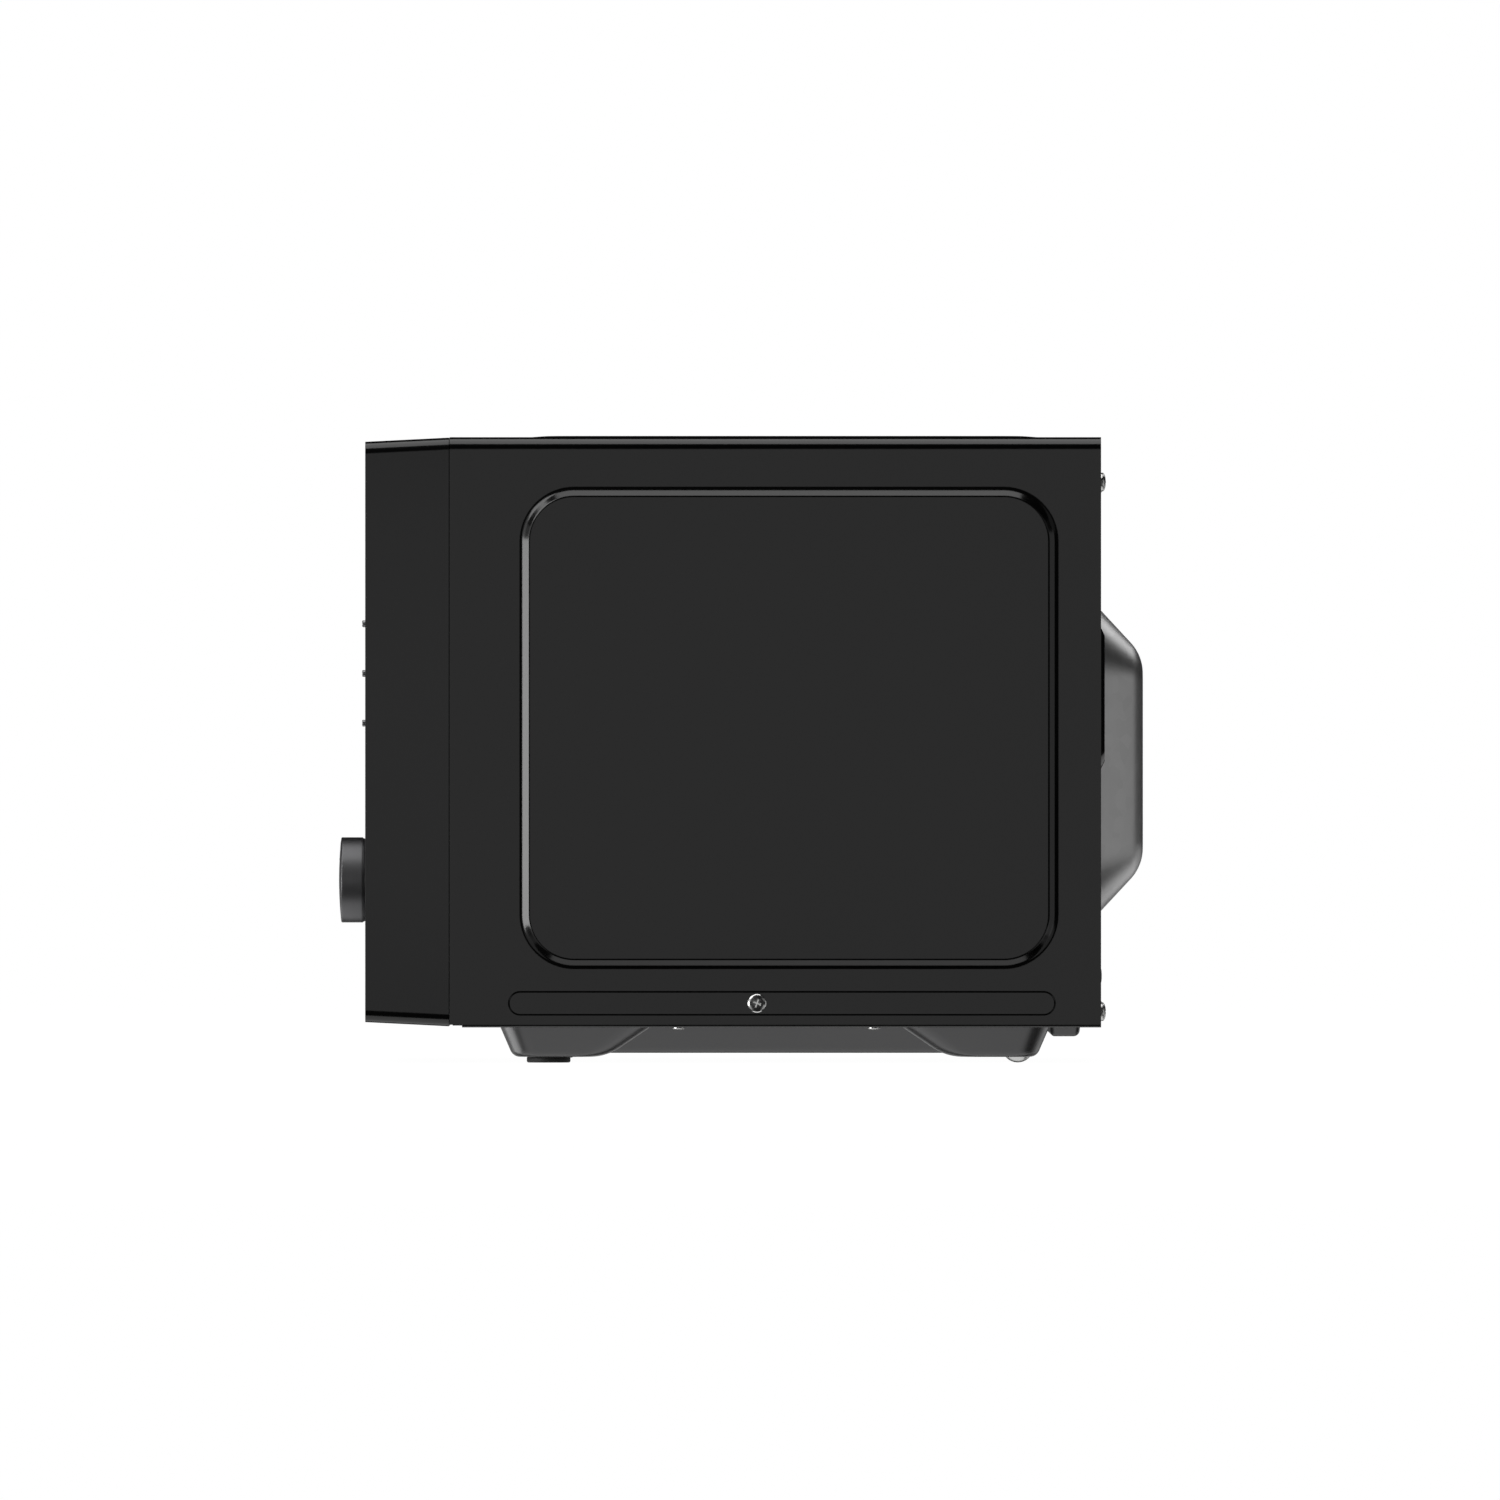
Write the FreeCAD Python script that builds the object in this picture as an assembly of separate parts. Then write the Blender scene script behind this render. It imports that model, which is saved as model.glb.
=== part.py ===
import FreeCAD
import Part
import math
import os

# A countertop toaster oven, in millimetres. The front faces -Y and +Z is up. The origin is under
# the middle of the whole object, on the surface that the feet stand on.

# Overall sizes
body_width = 476.0          # across the flat side sheets
body_depth = 353.3          # front face to rear face
cabinet_bottom = 17.1       # underside of the cabinet above the table
cabinet_top = 300.5         # flat part of the top
knob_proud = 13.0           # how far the knob stands out of the front
cover_depth = 21.8          # how far the motor cover stands out of the back

# Sheets and clearances
sheet = 0.8                 # folded steel sheet
over = 1.0                  # how far a cutter reaches past a surface
near = 1e-3                 # edges this close to a plane lie in it
clear = 0.3                 # gap between pieces that are only near each other
running = 0.05              # radial clearance of a shaft in its bore

# Outer cabinet
top_bend = 6.0
bottom_bend = 2.0
bottom_return = 10.0        # width of the folded-in bottom edge
plateau_height = 2.4
plateau_front = 73.8        # front face to the plateau's foot
plateau_rear = 19.8         # plateau's foot to the rear face
plateau_low = 28.1          # above the cabinet's bottom
plateau_high = 23.9         # below the cabinet's top
plateau_slope = 5.8
plateau_corner = 26.5
strip_depth = 0.45
strip_low = 5.6
strip_height = 12.0
strip_front = 68.5
strip_rear = 21.7
crown_height = 0.75         # raised field on the top
crown_side = 46.0
crown_front = 80.5
crown_rear = 35.2
crown_slope = 18.0
crown_corner = 30.0
notch_depth = 6.0
notch_height = 1.3

# Front bezel
bezel_depth = 40.2
seam = 0.3
bezel_wall = 2.5
bezel_plate = 3.0
bezel_taper = 2.0           # drop of the top and rise of the bottom from seam to front face
bezel_side_taper = 0.3
bezel_corner = 6.0
control_width = 112.0       # right side of the body to the fascia's inner edge
fascia_land = 6.0           # bezel left standing around the fascia
fascia_low = 8.0
fascia_high = 7.6
ledge = 2.5                 # seat behind the fascia's edge
ledge_thick = 2.0
mullion = 4.5
jamb_wall = 3.0
door_land_left = 8.5
door_land_top = 13.5
door_sill = 24.6            # cabinet's bottom to the door opening's sill

# Door
door_gap = 1.5
door_thick = 26.0
door_flange = 18.0          # how far the door laps over the cavity's mouth at each side
hinge_inset = 5.0           # hinge axis behind the front face and above the door's bottom
hinge_pin_r = 2.5
hinge_bush_wall = 1.5
hinge_pin_in = 14.0
outer_glass_thick = 4.0
inner_glass_thick = 3.0
glass_inset = 8.0
top_rail = 26.0
window_side = 34.0
window_bottom = 36.0
window_top = 44.0
inner_panel_thick = 1.0
inner_lap = 10.0
pull_width = 118.0
pull_height = 15.0
pull_depth = 16.0
pull_wall = 1.5
pull_from_top = 5.5
stay_thick = 1.5
stay_inset = 8.0
stay_radius = 62.0
stay_width = 8.0
stay_tail = 24.0            # degrees below the hinge axis
stay_foot = 6.0

# Front frame and cavity
frame_gap = 1.5             # closed door to the front frame
frame_thick = 1.2
frame_side = 3.5
frame_low = 5.0
floor_drop = 7.7            # sill to the cavity floor
ceiling_drop = 9.0          # top of the door opening to the cavity ceiling
cavity_rear_gap = 31.5      # rear face to the cavity's back sheet
slot_clear = 0.8
frame_return = 1.5          # how far the frame's returns reach behind the bezel
frame_above = 6.0           # front frame above the door opening
air_hole_r = 2.4
air_rings = ((26.0, 12), (38.0, 18))

# Racks, pan and tray
runner_first = 42.0         # lowest ledge above the cavity floor
runner_last = 111.0         # highest ledge below the cavity ceiling
runner_count = 3
rack_level = 1
runner_ledge = 8.0
runner_plate = 1.0
runner_ledge_thick = 1.2
runner_below = 8.0
runner_above = 10.0
runner_start = 6.0
runner_end = 30.0
rack_wire_r = 2.5
rack_cross_r = 1.6
rack_pitch = 19.5
rack_corner = 12.0
rack_side_gap = 4.0
rack_front_gap = 4.0
rack_rear_gap = 14.1        # rack to the fan grille
pan_inset = 14.0
pan_depth = 17.0
pan_corner = 14.0
pan_rim = 5.0
pan_draft = 3.0
tray_inset = 12.0
tray_lip = 5.0
tray_sheet = 0.8
tray_gap = 0.4
tray_rear_gap = 29.8
tray_front_top_gap = 2.0
tray_front_bottom = 8.6     # above the cabinet's bottom
tray_front_thick = 1.6

# Heaters
heater_r = 4.0
heater_wall_drop = 16.0
heater_floor_rise = 20.0
heater_front = 72.0
heater_rear = 92.0
insulator_r = 7.5
insulator_length = 9.0

# Lamp, temperature probe and insulation
lamp_back = 60.0            # lamp behind the cavity's mouth
lamp_drop = 46.0            # lamp and probe below the cavity's ceiling
lamp_hole_r = 14.0
lamp_lap = 5.0
lamp_lens_depth = 4.0
lamp_edge = 2.5
bulb_r = 6.5
bulb_length = 6.0
lamp_base_r = 9.0
probe_forward = 60.0        # probe ahead of the cavity's back
probe_r = 2.0
probe_reach = 22.0
probe_tail = 4.0
probe_nut_r = 5.0
probe_nut_length = 5.0
pad_top_thick = 8.0
pad_side_thick = 6.0
pad_rear_gap = 8.0
pad_front_gap = 12.0

# Convection fan and motor
fan_drop = 10.9              # fan axis below the middle of the cavity
fan_r = 62.0
fan_depth = 11.0
fan_hub_r = 9.0
fan_blades = 8
fan_to_back = 4.0
grille_r = 78.0
grille_depth = 24.0
grille_hole_r = 2.6
grille_sheet = 1.0
grille_edge = 5.0
grille_rings = 7
grille_pitch = 9.0
grille_side_holes = 24
grille_side_hole_r = 3.0
blade_thick = 1.2
fan_twist = 12.0
cooling_blades = 6
cooling_hub_r = 7.0
cooling_twist = 30.0
shaft_r = 3.0
shaft_nose = 5.0
cooling_r = 34.0
cooling_depth = 6.0
cooling_gap = 3.5
bracket_gap = 4.0
bracket_thick = 1.2
stack_half = 30.0
stack_thick = 18.0
rotor_r = 11.6
rotor_gap = 0.6
shaft_tail = 5.0
bracket_half = 14.0
bracket_leg_r = 3.0
stack_low = 1.5             # stack below the shaft, in half widths
stack_high = 0.9
coil_bar = 1.22             # top of the coil's bar below the shaft, in half widths
coil_half = 15.0

# Motor cover
cover_width = 204.0
cover_height = 148.9
cover_slope = 23.5
cover_corner = 36.0
cover_fillet = 9.0
cover_flange = 9.0

# Rear panel
vent_proud = 1.9
vent_rise = 29.95           # middle of the vent above the fan axis
vent_height = 68.7
vent_width = 78.0
vent_slope = 4.0
vent_hole_r = 2.1
vent_pitch = 6.5
gland_rise = 44.9
gland_bore_r = 4.0
gland_body_r = 7.0
gland_flange_r = 10.0
gland_flange = 2.0
gland_length = 13.0
gland_pocket = 2.6
rivet_r = 3.3
rivet_proud = 0.55
rivet_rise = 24.7
vent_corner = 8.0
vent_border = 3.2
louvre_count = 7
louvre_pitch = 8.0
louvre_width = 4.0
louvre_inset = 60.0
louvre_low = 50.0
louvre_high = 110.0
rear_screw_left_gap = 14.0
rear_screw_right_gap = 24.0
cover_screw_gap = 5.0
cover_screw_spread = 50.0

# Controls
fascia_thick = 3.0
display_width = 80.0
display_height = 42.0
display_drop = 38.9         # middle of the display below the fascia's top
lens_thick = 2.0
key_width = 60.0
key_height = 3.2
key_proud = 1.65
key_count = 3
key_drop = 41.0             # middle of the display to the first key
key_pitch = 23.9
key_gap = 0.3
key_flange = 2.0
key_travel = 1.0
knob_r = 20.5
knob_rise = 60.7            # knob axis above the fascia's bottom
knob_edge = 1.2
knob_gap = 0.3
knob_bore_depth = 9.0
encoder_shaft_r = 3.0
encoder_bush_r = 4.5
encoder_size = 13.0
encoder_depth = 6.5
board_thick = 1.6
board_back = 16.0           # control board behind the front face
switch_depth = 5.0
switch_half = 3.0
switch_case = 3.5
switch_pip_r = 1.7
key_stem_r = 2.0
key_flange_thick = 1.5
key_edge = 0.4
knob_wall = 3.0
knob_hollow = 4.0
board_side_gap = 5.0
board_low_gap = 30.0
board_high_gap = 6.0

# Power board
power_from_side = 12.0
power_end_gap = 70.0
power_low = 45.0
power_height = 150.0
relay_count = 4
relay_length = 20.0
relay_pitch = 30.0
relay_height = 26.0
relay_depth = 18.0
transformer_length = 50.0
transformer_height = 42.0
transformer_depth = 36.0
capacitor_r = 9.0
capacitor_length = 30.0

# Base plate and feet
base_sheet = 1.0
base_flange = 24.0
boss_depth = 15.2           # cabinet's bottom sheet to the boss's face
boss_side_in = 14.0
boss_width = 74.0
boss_corner = 14.0
front_boss_start = 64.4     # from the front face
front_boss_length = 71.3
rear_boss_end = 24.3        # from the rear face
rear_boss_length = 69.9
boss_steep = 6.5            # outer slope, along Y
boss_gentle = 20.0          # slope towards the middle, along Y
boss_side_slope = 10.0
dish_depth = 13.8
dish_side = 104.0
dish_front = 72.0
dish_rear = 46.0
dish_slope = 10.0
slot_width = 4.0
slot_pitch = 20.0
slot_rows = 3
slot_space = 40.0
press_fillet = 5.0
rib_depth = 5.4
rib_start = 24.5            # from the rear face
rib_end = 9.7
rib_side = 40.0
rib_edge = 3.0
front_flange = 12.0
foot_edge = 0.6
foot_r = 10.5
foot_from_front = 87.9
foot_side = 46.0
dome_r = 6.0
dome_from_rear = 39.8

# Screws
screw_head_r = 4.5
screw_head_height = 2.45
screw_shank_r = 1.7
screw_shank = 6.0
side_screw_from_front = 188.1
base_screw_r = 3.0
base_screw_proud = 1.1
base_screw_from_front = (150.4, 244.2)
rear_screw_rise = 7.5
rear_screw_drop = 21.5
rear_screw_inset = 16.0

# Places worked out from the sizes above
half = body_width / 2
y_front = -(knob_proud + body_depth + cover_depth) / 2 + knob_proud
y_back = y_front + body_depth
y_bezel_back = y_front + bezel_depth
y_cabinet = y_bezel_back + seam
open_left = -half + door_land_left
fascia_left = half - control_width
fascia_right = half - fascia_land
open_right = fascia_left - mullion
open_low = cabinet_bottom + door_sill
open_high = cabinet_top - door_land_top
door_left = open_left + door_gap
door_right = open_right - door_gap
door_low = open_low + door_gap
door_high = open_high - door_gap
y_door_back = y_front + door_thick
hinge_y = y_front + hinge_inset
hinge_z = door_low + hinge_inset
y_frame = y_door_back + frame_gap
y_cavity = y_frame + frame_thick
y_cavity_back = y_back - cavity_rear_gap
cav_left = door_left + door_flange
cav_right = door_right - door_flange
cav_floor = open_low - floor_drop
cav_top = open_high - ceiling_drop
fan_x = (cav_left + cav_right) / 2
fan_height = (cav_floor + cav_top) / 2 - fan_drop
fascia_low_z = cabinet_bottom + bezel_taper + fascia_low
fascia_high_z = cabinet_top - bezel_taper - fascia_high
control_x = (fascia_left + fascia_right) / 2
display_centre = fascia_high_z - display_drop
key_rows = [display_centre - key_drop - key_pitch * i for i in range(key_count)]
knob_height = fascia_low_z + knob_rise
y_board = y_front + board_back
base_top = cabinet_bottom + sheet + 0.1 + base_sheet
divider_x = open_right
runner_step = (cav_top - cav_floor - runner_first - runner_last) / (runner_count - 1)
runner_levels = [cav_floor + runner_first + runner_step * i for i in range(runner_count)]
stay_left_x = door_left + stay_inset
stay_right_x = door_right - stay_inset
rack_z = runner_levels[rack_level] + 0.1 + rack_wire_r
rack_top = rack_z + rack_wire_r
rack_front = y_cavity + rack_front_gap
rack_length = y_cavity_back - grille_depth - rack_rear_gap - rack_front
y_bracket = y_cavity_back + sheet + cooling_gap + cooling_depth + bracket_gap
y_stack = y_bracket + bracket_thick
y_rear_sheet = y_back - sheet

V = FreeCAD.Vector
X_AXIS = V(1, 0, 0)
Y_AXIS = V(0, 1, 0)
Z_AXIS = V(0, 0, 1)
parts = {}


def box(x0, x1, y0, y1, z0, z1):
    return Part.makeBox(x1 - x0, y1 - y0, z1 - z0, V(x0, y0, z0))


def rod(start, axis, radius, length):
    return Part.makeCylinder(radius, length, start, axis)


def fuse(shapes):
    shapes = list(shapes)
    if len(shapes) == 1:
        return shapes[0]
    return shapes[0].fuse(shapes[1:]).removeSplitter()


def cut(shape, tools):
    return shape.cut(Part.makeCompound(list(tools)))


def group(shapes):
    return Part.makeCompound(list(shapes))


def at_x(x):
    return lambda u, v: V(x, u, v)


def at_y(y):
    return lambda u, v: V(u, y, v)


def at_z(z):
    return lambda u, v: V(u, v, z)


def outline(place, u0, u1, v0, v1, r):
    # Closed rounded rectangle, counter-clockwise in the plane's own u and v
    k = r * (1 - math.sqrt(0.5))
    corners = [
        ((u1 - r, v0), (u1 - k, v0 + k), (u1, v0 + r)),
        ((u1, v1 - r), (u1 - k, v1 - k), (u1 - r, v1)),
        ((u0 + r, v1), (u0 + k, v1 - k), (u0, v1 - r)),
        ((u0, v0 + r), (u0 + k, v0 + k), (u0 + r, v0)),
    ]
    edges = []
    for i, (a, b, c) in enumerate(corners):
        edges.append(Part.Arc(place(*a), place(*b), place(*c)).toShape())
        after = corners[(i + 1) % 4][0]
        if (place(*c) - place(*after)).Length > 1e-6:
            edges.append(Part.LineSegment(place(*c), place(*after)).toShape())
    return Part.Wire(edges)


def slab(place, u0, u1, v0, v1, r, along):
    return Part.Face(outline(place, u0, u1, v0, v1, r)).extrude(along)


def frustum(plane, w0, w1, big, small, r_big, r_small):
    first = outline(plane(w0), *big, r_big)
    second = outline(plane(w1), *small, r_small)
    return Part.makeLoft([first, second], True, True)


def inset(rect, d0, d1=None, d2=None, d3=None):
    # Shrinks (u0, u1, v0, v1) by a distance per side
    d1 = d0 if d1 is None else d1
    d2 = d0 if d2 is None else d2
    d3 = d0 if d3 is None else d3
    return (rect[0] + d0, rect[1] - d1, rect[2] + d2, rect[3] - d3)


def screw(tip, axis, head_r, head_height, shank):
    # Truss-head screw: the head stands out along the axis, the shank goes the other way
    sphere_r = (head_r ** 2 + head_height ** 2) / (2 * head_height)
    ball = Part.makeSphere(sphere_r, V(0, 0, head_height - sphere_r))
    head = rod(V(0, 0, 0), Z_AXIS, head_r, head_height + 1).common(ball)
    whole = head.fuse(rod(V(0, 0, -shank), Z_AXIS, screw_shank_r, shank))
    whole.Placement = FreeCAD.Placement(tip, FreeCAD.Rotation(Z_AXIS, axis))
    return whole


def runs_along_y(edge):
    return abs(edge.tangentAt(edge.FirstParameter).y) > 0.9


# Outer cabinet

def cabinet_volume(d, y0, y1):
    # The cabinet's outer shape moved inwards by d, so that two of them leave a sheet
    body = box(-half + d, half - d, y0, y1, cabinet_bottom + d, cabinet_top - d)
    for z, bend in ((cabinet_top - d, top_bend), (cabinet_bottom + d, bottom_bend)):
        edges = [e for e in body.Edges if runs_along_y(e) and abs(e.CenterOfMass.z - z) < near]
        body = body.makeFillet(bend - d, edges)
    foot = (y_front + plateau_front, y_back - plateau_rear,
            cabinet_bottom + plateau_low, cabinet_top - plateau_high)
    strip = (y_front + strip_front, y_back - strip_rear,
             cabinet_bottom + strip_low, cabinet_bottom + strip_low + strip_height)
    crown = (-half + crown_side, half - crown_side, y_front + crown_front, y_back - crown_rear)
    add = [frustum(at_z, cabinet_top - d - 1, cabinet_top - d + crown_height,
                   crown, inset(crown, crown_slope), crown_corner, crown_corner)]
    away = []
    for side in (-1, 1):
        x = side * (half - d)
        add.append(frustum(at_x, x - side * 0.01, x + side * plateau_height,
                           foot, inset(foot, plateau_slope), plateau_corner,
                           plateau_corner - plateau_slope))
        away.append(slab(at_x(x - side * strip_depth), *strip, strip_height / 2 - 0.001, V(side, 0, 0)))
    return cut(fuse([body] + add), away)


def make_outer_cabinet():
    skin = cabinet_volume(0.0, y_cabinet, y_back).cut(cabinet_volume(sheet, y_cabinet - 5, y_back + 5))
    away = [box(-half + bottom_return, half - bottom_return, y_cabinet - 1, y_back + 1,
                cabinet_bottom - 1, cabinet_bottom + 3)]
    away.append(box(-half - 1, half + 1, y_cabinet - 1, y_cabinet + notch_depth,
                    cabinet_bottom - 1, cabinet_bottom + notch_height))
    for side in (-1, 1):
        away.append(rod(V(side * (half - 4), y_front + side_screw_from_front, side_screw_z()),
                        V(side, 0, 0), screw_shank_r + 0.1, 8))
        for y in base_screw_from_front:
            away.append(rod(V(side * (half - bottom_return / 2), y_front + y, cabinet_bottom - 1),
                            Z_AXIS, screw_shank_r + 0.1, 3))
    parts["outer_cabinet"] = cut(skin, away)


def side_screw_z():
    return cabinet_bottom + strip_low + strip_height / 2


# Front bezel

def bezel_rect(back):
    drop = 0.0 if back else bezel_taper
    side = 0.0 if back else bezel_side_taper
    return (-half + side, half - side, cabinet_bottom + 0.5 + drop, cabinet_top - 0.2 - drop)


def make_front_bezel():
    front = bezel_rect(False)
    back = bezel_rect(True)
    shell = frustum(at_y, y_front, y_bezel_back, front, back, bezel_corner, bezel_corner)
    hollow = frustum(at_y, y_front + bezel_plate, y_bezel_back + 1, inset(front, bezel_wall),
                     inset(back, bezel_wall), bezel_corner - bezel_wall, bezel_corner - bezel_wall)
    shell = shell.cut(hollow)
    jamb = box(open_left - jamb_wall, open_right + jamb_wall, y_front + 1, y_frame,
               open_low - jamb_wall, open_high + jamb_wall)
    rest = box(fascia_left - ledge, fascia_right + ledge, y_front + bezel_plate,
               y_front + fascia_thick + ledge_thick, fascia_low_z - ledge, fascia_high_z + ledge)
    shell = fuse([shell, jamb, rest])
    away = [
        box(open_left, open_right, y_front - 1, y_frame + 1, open_low, open_high),
        box(fascia_left, fascia_right, y_front - 1, y_front + fascia_thick, fascia_low_z, fascia_high_z),
        box(fascia_left + ledge, fascia_right - ledge, y_front, y_front + 9,
            fascia_low_z + ledge, fascia_high_z - ledge),
        box(tray_left() - 1, tray_right() + 1, y_front - 1, y_frame + 1,
            cabinet_bottom + tray_front_bottom - 0.8, open_low + 1),
    ]
    for x, side in ((open_left, -1), (open_right, 1)):
        away.append(rod(V(x - side, hinge_y, hinge_z), V(side, 0, 0),
                        hinge_pin_r + running + hinge_bush_wall, jamb_wall + 1))
    parts["front_bezel"] = cut(shell, away)


def make_hinge_bushes():
    bushes = []
    for x, side in ((open_left, -1), (open_right, 1)):
        start = V(x, hinge_y, hinge_z)
        outer = rod(start, V(side, 0, 0), hinge_pin_r + running + hinge_bush_wall, jamb_wall)
        bushes.append(outer.cut(rod(start, V(side, 0, 0), hinge_pin_r + running, jamb_wall)))
    parts["hinge_bushes"] = group(bushes)


# Door

def window():
    return (door_left + window_side, door_right - window_side,
            door_low + window_bottom, door_high - window_top)


def pull_rect():
    middle = (door_left + door_right) / 2
    top = door_high - pull_from_top
    return (middle - pull_width / 2, middle + pull_width / 2, top - pull_height, top)


def stay_slots(grow, y0, y1):
    low = hinge_z + stay_radius * 0.62
    high = hinge_z + stay_radius + stay_width / 2 + 3
    return [box(x - stay_thick / 2 - grow, x + stay_thick / 2 + grow, y0, y1, low - grow, high + grow)
            for x in (stay_left_x, stay_right_x)]


def make_door_frame():
    frame = box(door_left, door_right, y_front, y_door_back, door_low, door_high)
    low_edges = [e for e in frame.Edges if abs(e.CenterOfMass.z - door_low) < near
                 and abs(e.CenterOfMass.y - y_front) < near]
    frame = frame.makeFillet(hinge_inset - 0.01, low_edges)
    u0, u1, v0, v1 = window()
    g0, g1, h0, h1 = glass_rect()
    i0, i1, j0, j1 = inner_rect()
    p0, p1, q0, q1 = pull_rect()
    away = [
        box(u0, u1, y_front - 1, y_door_back + 1, v0, v1),
        box(g0 - clear, g1 + clear, y_front - 1, y_front + outer_glass_thick, h0 - clear, h1 + clear),
        box(i0 - clear, i1 + clear, y_door_back - inner_panel_thick - inner_glass_thick,
            y_door_back + 1, j0 - clear, j1 + clear),
        box(p0 - pull_wall, p1 + pull_wall, y_front - 1, y_front + pull_depth + pull_wall,
            q0 - pull_wall, q1 + pull_wall),
    ]
    away += stay_slots(0.1, y_door_back - stay_foot, y_door_back + 1)
    for x, side in ((door_left, 1), (door_right, -1)):
        away.append(rod(V(x - side, hinge_y, hinge_z), V(side, 0, 0), hinge_pin_r, hinge_pin_in + 1))
    parts["door_frame"] = cut(frame, away)


def glass_rect():
    return (door_left + glass_inset, door_right - glass_inset,
            door_low + glass_inset + 4, door_high - top_rail)


def inner_rect():
    return inset(window(), -inner_lap - 8)


def make_door_glass():
    g0, g1, h0, h1 = glass_rect()
    parts["door_outer_glass"] = box(g0, g1, y_front, y_front + outer_glass_thick, h0, h1)
    i0, i1, j0, j1 = inset(window(), -inner_lap)
    y0 = y_door_back - inner_panel_thick - inner_glass_thick
    parts["door_inner_glass"] = box(i0, i1, y0, y0 + inner_glass_thick, j0, j1)


def make_door_inner_panel():
    i0, i1, j0, j1 = inner_rect()
    u0, u1, v0, v1 = inset(window(), 2.0)
    panel = box(i0, i1, y_door_back - inner_panel_thick, y_door_back, j0, j1)
    away = [box(u0, u1, y_door_back - 5, y_door_back + 1, v0, v1)]
    screws = []
    for x in (i0 + 4.5, (i0 + i1) / 2, i1 - 4.5):
        for z in (j0 + 4.5, j1 - 4.5):
            away.append(rod(V(x, y_door_back + 1, z), -Y_AXIS, screw_shank_r, 4))
            screws.append((x, z))
    parts["door_inner_panel"] = cut(panel, away)
    heads = [screw(V(x, y_door_back, z), Y_AXIS, 3.2, 0.8, inner_panel_thick + inner_glass_thick)
             for x, z in screws]
    parts["door_panel_screws"] = group(heads)


def make_door_pull_cup():
    p0, p1, q0, q1 = pull_rect()
    cup = box(p0 - pull_wall, p1 + pull_wall, y_front, y_front + pull_depth + pull_wall,
              q0 - pull_wall, q1 + pull_wall)
    parts["door_pull_cup"] = cup.cut(box(p0, p1, y_front - 1, y_front + pull_depth, q0, q1))


def make_hinge_pins():
    pins = []
    for x, side in ((door_left, 1), (door_right, -1)):
        start = V(x - side * (door_gap + jamb_wall), hinge_y, hinge_z)
        pins.append(rod(start, V(side, 0, 0), hinge_pin_r, hinge_pin_in + door_gap + jamb_wall))
    parts["hinge_pins"] = group(pins)


def make_door_stays():
    r0 = stay_radius - stay_width / 2
    r1 = stay_radius + stay_width / 2
    up = math.degrees(math.acos((door_thick - hinge_inset - 1) / stay_radius))
    stays = []
    for x in (stay_left_x, stay_right_x):
        start = V(x - stay_thick / 2, hinge_y, hinge_z)
        ring = Part.makeCylinder(r1, stay_thick, start, X_AXIS, up + stay_tail)
        ring = ring.cut(rod(start, X_AXIS, r0, stay_thick)).Solids[0]
        # The sector is turned so that its middle lies halfway between tail and foot
        c = ring.CenterOfMass - start
        now = math.degrees(math.atan2(c.z, c.y))
        ring.rotate(start, X_AXIS, (up - stay_tail) / 2 - now)
        low = hinge_z + stay_radius * 0.62
        foot = box(x - stay_thick / 2, x + stay_thick / 2, y_door_back - stay_foot + 0.1,
                   y_door_back, low, hinge_z + r1 + 2.5)
        stays.append(fuse([ring, foot]))
    parts["door_stays"] = group(stays)


# Front frame and cavity

def make_front_frame():
    x0 = open_left - frame_side
    x1 = open_right
    z0 = cabinet_bottom + frame_low
    z1 = open_high + frame_above
    plate = box(x0, x1, y_frame, y_cavity, z0, z1)
    returns = [box(cav_left, cav_right, y_cavity - 0.01, y_cabinet + frame_return, z, z + frame_thick)
               for z in (z0 + 1, z1 - frame_thick)]
    away = [box(cav_left, cav_right, y_frame - 1, y_cavity + 0.5, cav_floor, cav_top)]
    low = hinge_z + stay_radius * 0.8
    high = hinge_z + stay_radius + stay_width / 2 + 2
    for x in (stay_left_x, stay_right_x):
        away.append(box(x - stay_thick / 2 - slot_clear, x + stay_thick / 2 + slot_clear,
                        y_frame - 1, y_cavity + 0.5, low, high))
    parts["front_frame"] = cut(fuse([plate] + returns), away)


def make_cavity():
    x0, x1, y0, y1 = cav_left, cav_right, y_cavity, y_cavity_back
    parts["cavity_floor"] = box(x0 - sheet, x1 + sheet, y0, y1, cav_floor - sheet, cav_floor)
    parts["cavity_top"] = box(x0 - sheet, x1 + sheet, y0, y1, cav_top, cav_top + sheet)
    parts["cavity_left_wall"] = box(x0 - sheet, x0, y0, y1, cav_floor, cav_top)
    wall = box(x1, x1 + sheet, y0, y1, cav_floor, cav_top)
    away = [rod(V(x1 - 1, lamp_y(), lamp_z()), X_AXIS, lamp_hole_r, 4),
            rod(V(x1 - 1, probe_y(), lamp_z()), X_AXIS, probe_r + 0.1, 4)]
    parts["cavity_right_wall"] = cut(wall, away)
    back = box(x0 - sheet, x1 + sheet, y1, y1 + sheet, cav_floor - sheet, cav_top + sheet)
    away = [rod(V(fan_x, y1 - 1, fan_height), Y_AXIS, shaft_r + 3, 3)]
    for ring_r, count in air_rings:
        for i in range(count):
            a = 2 * math.pi * i / count
            spot = V(fan_x + ring_r * math.cos(a), y1 - 1, fan_height + ring_r * math.sin(a))
            away.append(rod(spot, Y_AXIS, air_hole_r, 3))
    parts["cavity_back"] = cut(back, away)


def lamp_y():
    return y_cavity + lamp_back


def lamp_z():
    return cav_top - lamp_drop


def probe_y():
    return y_cavity_back - probe_forward


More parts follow.
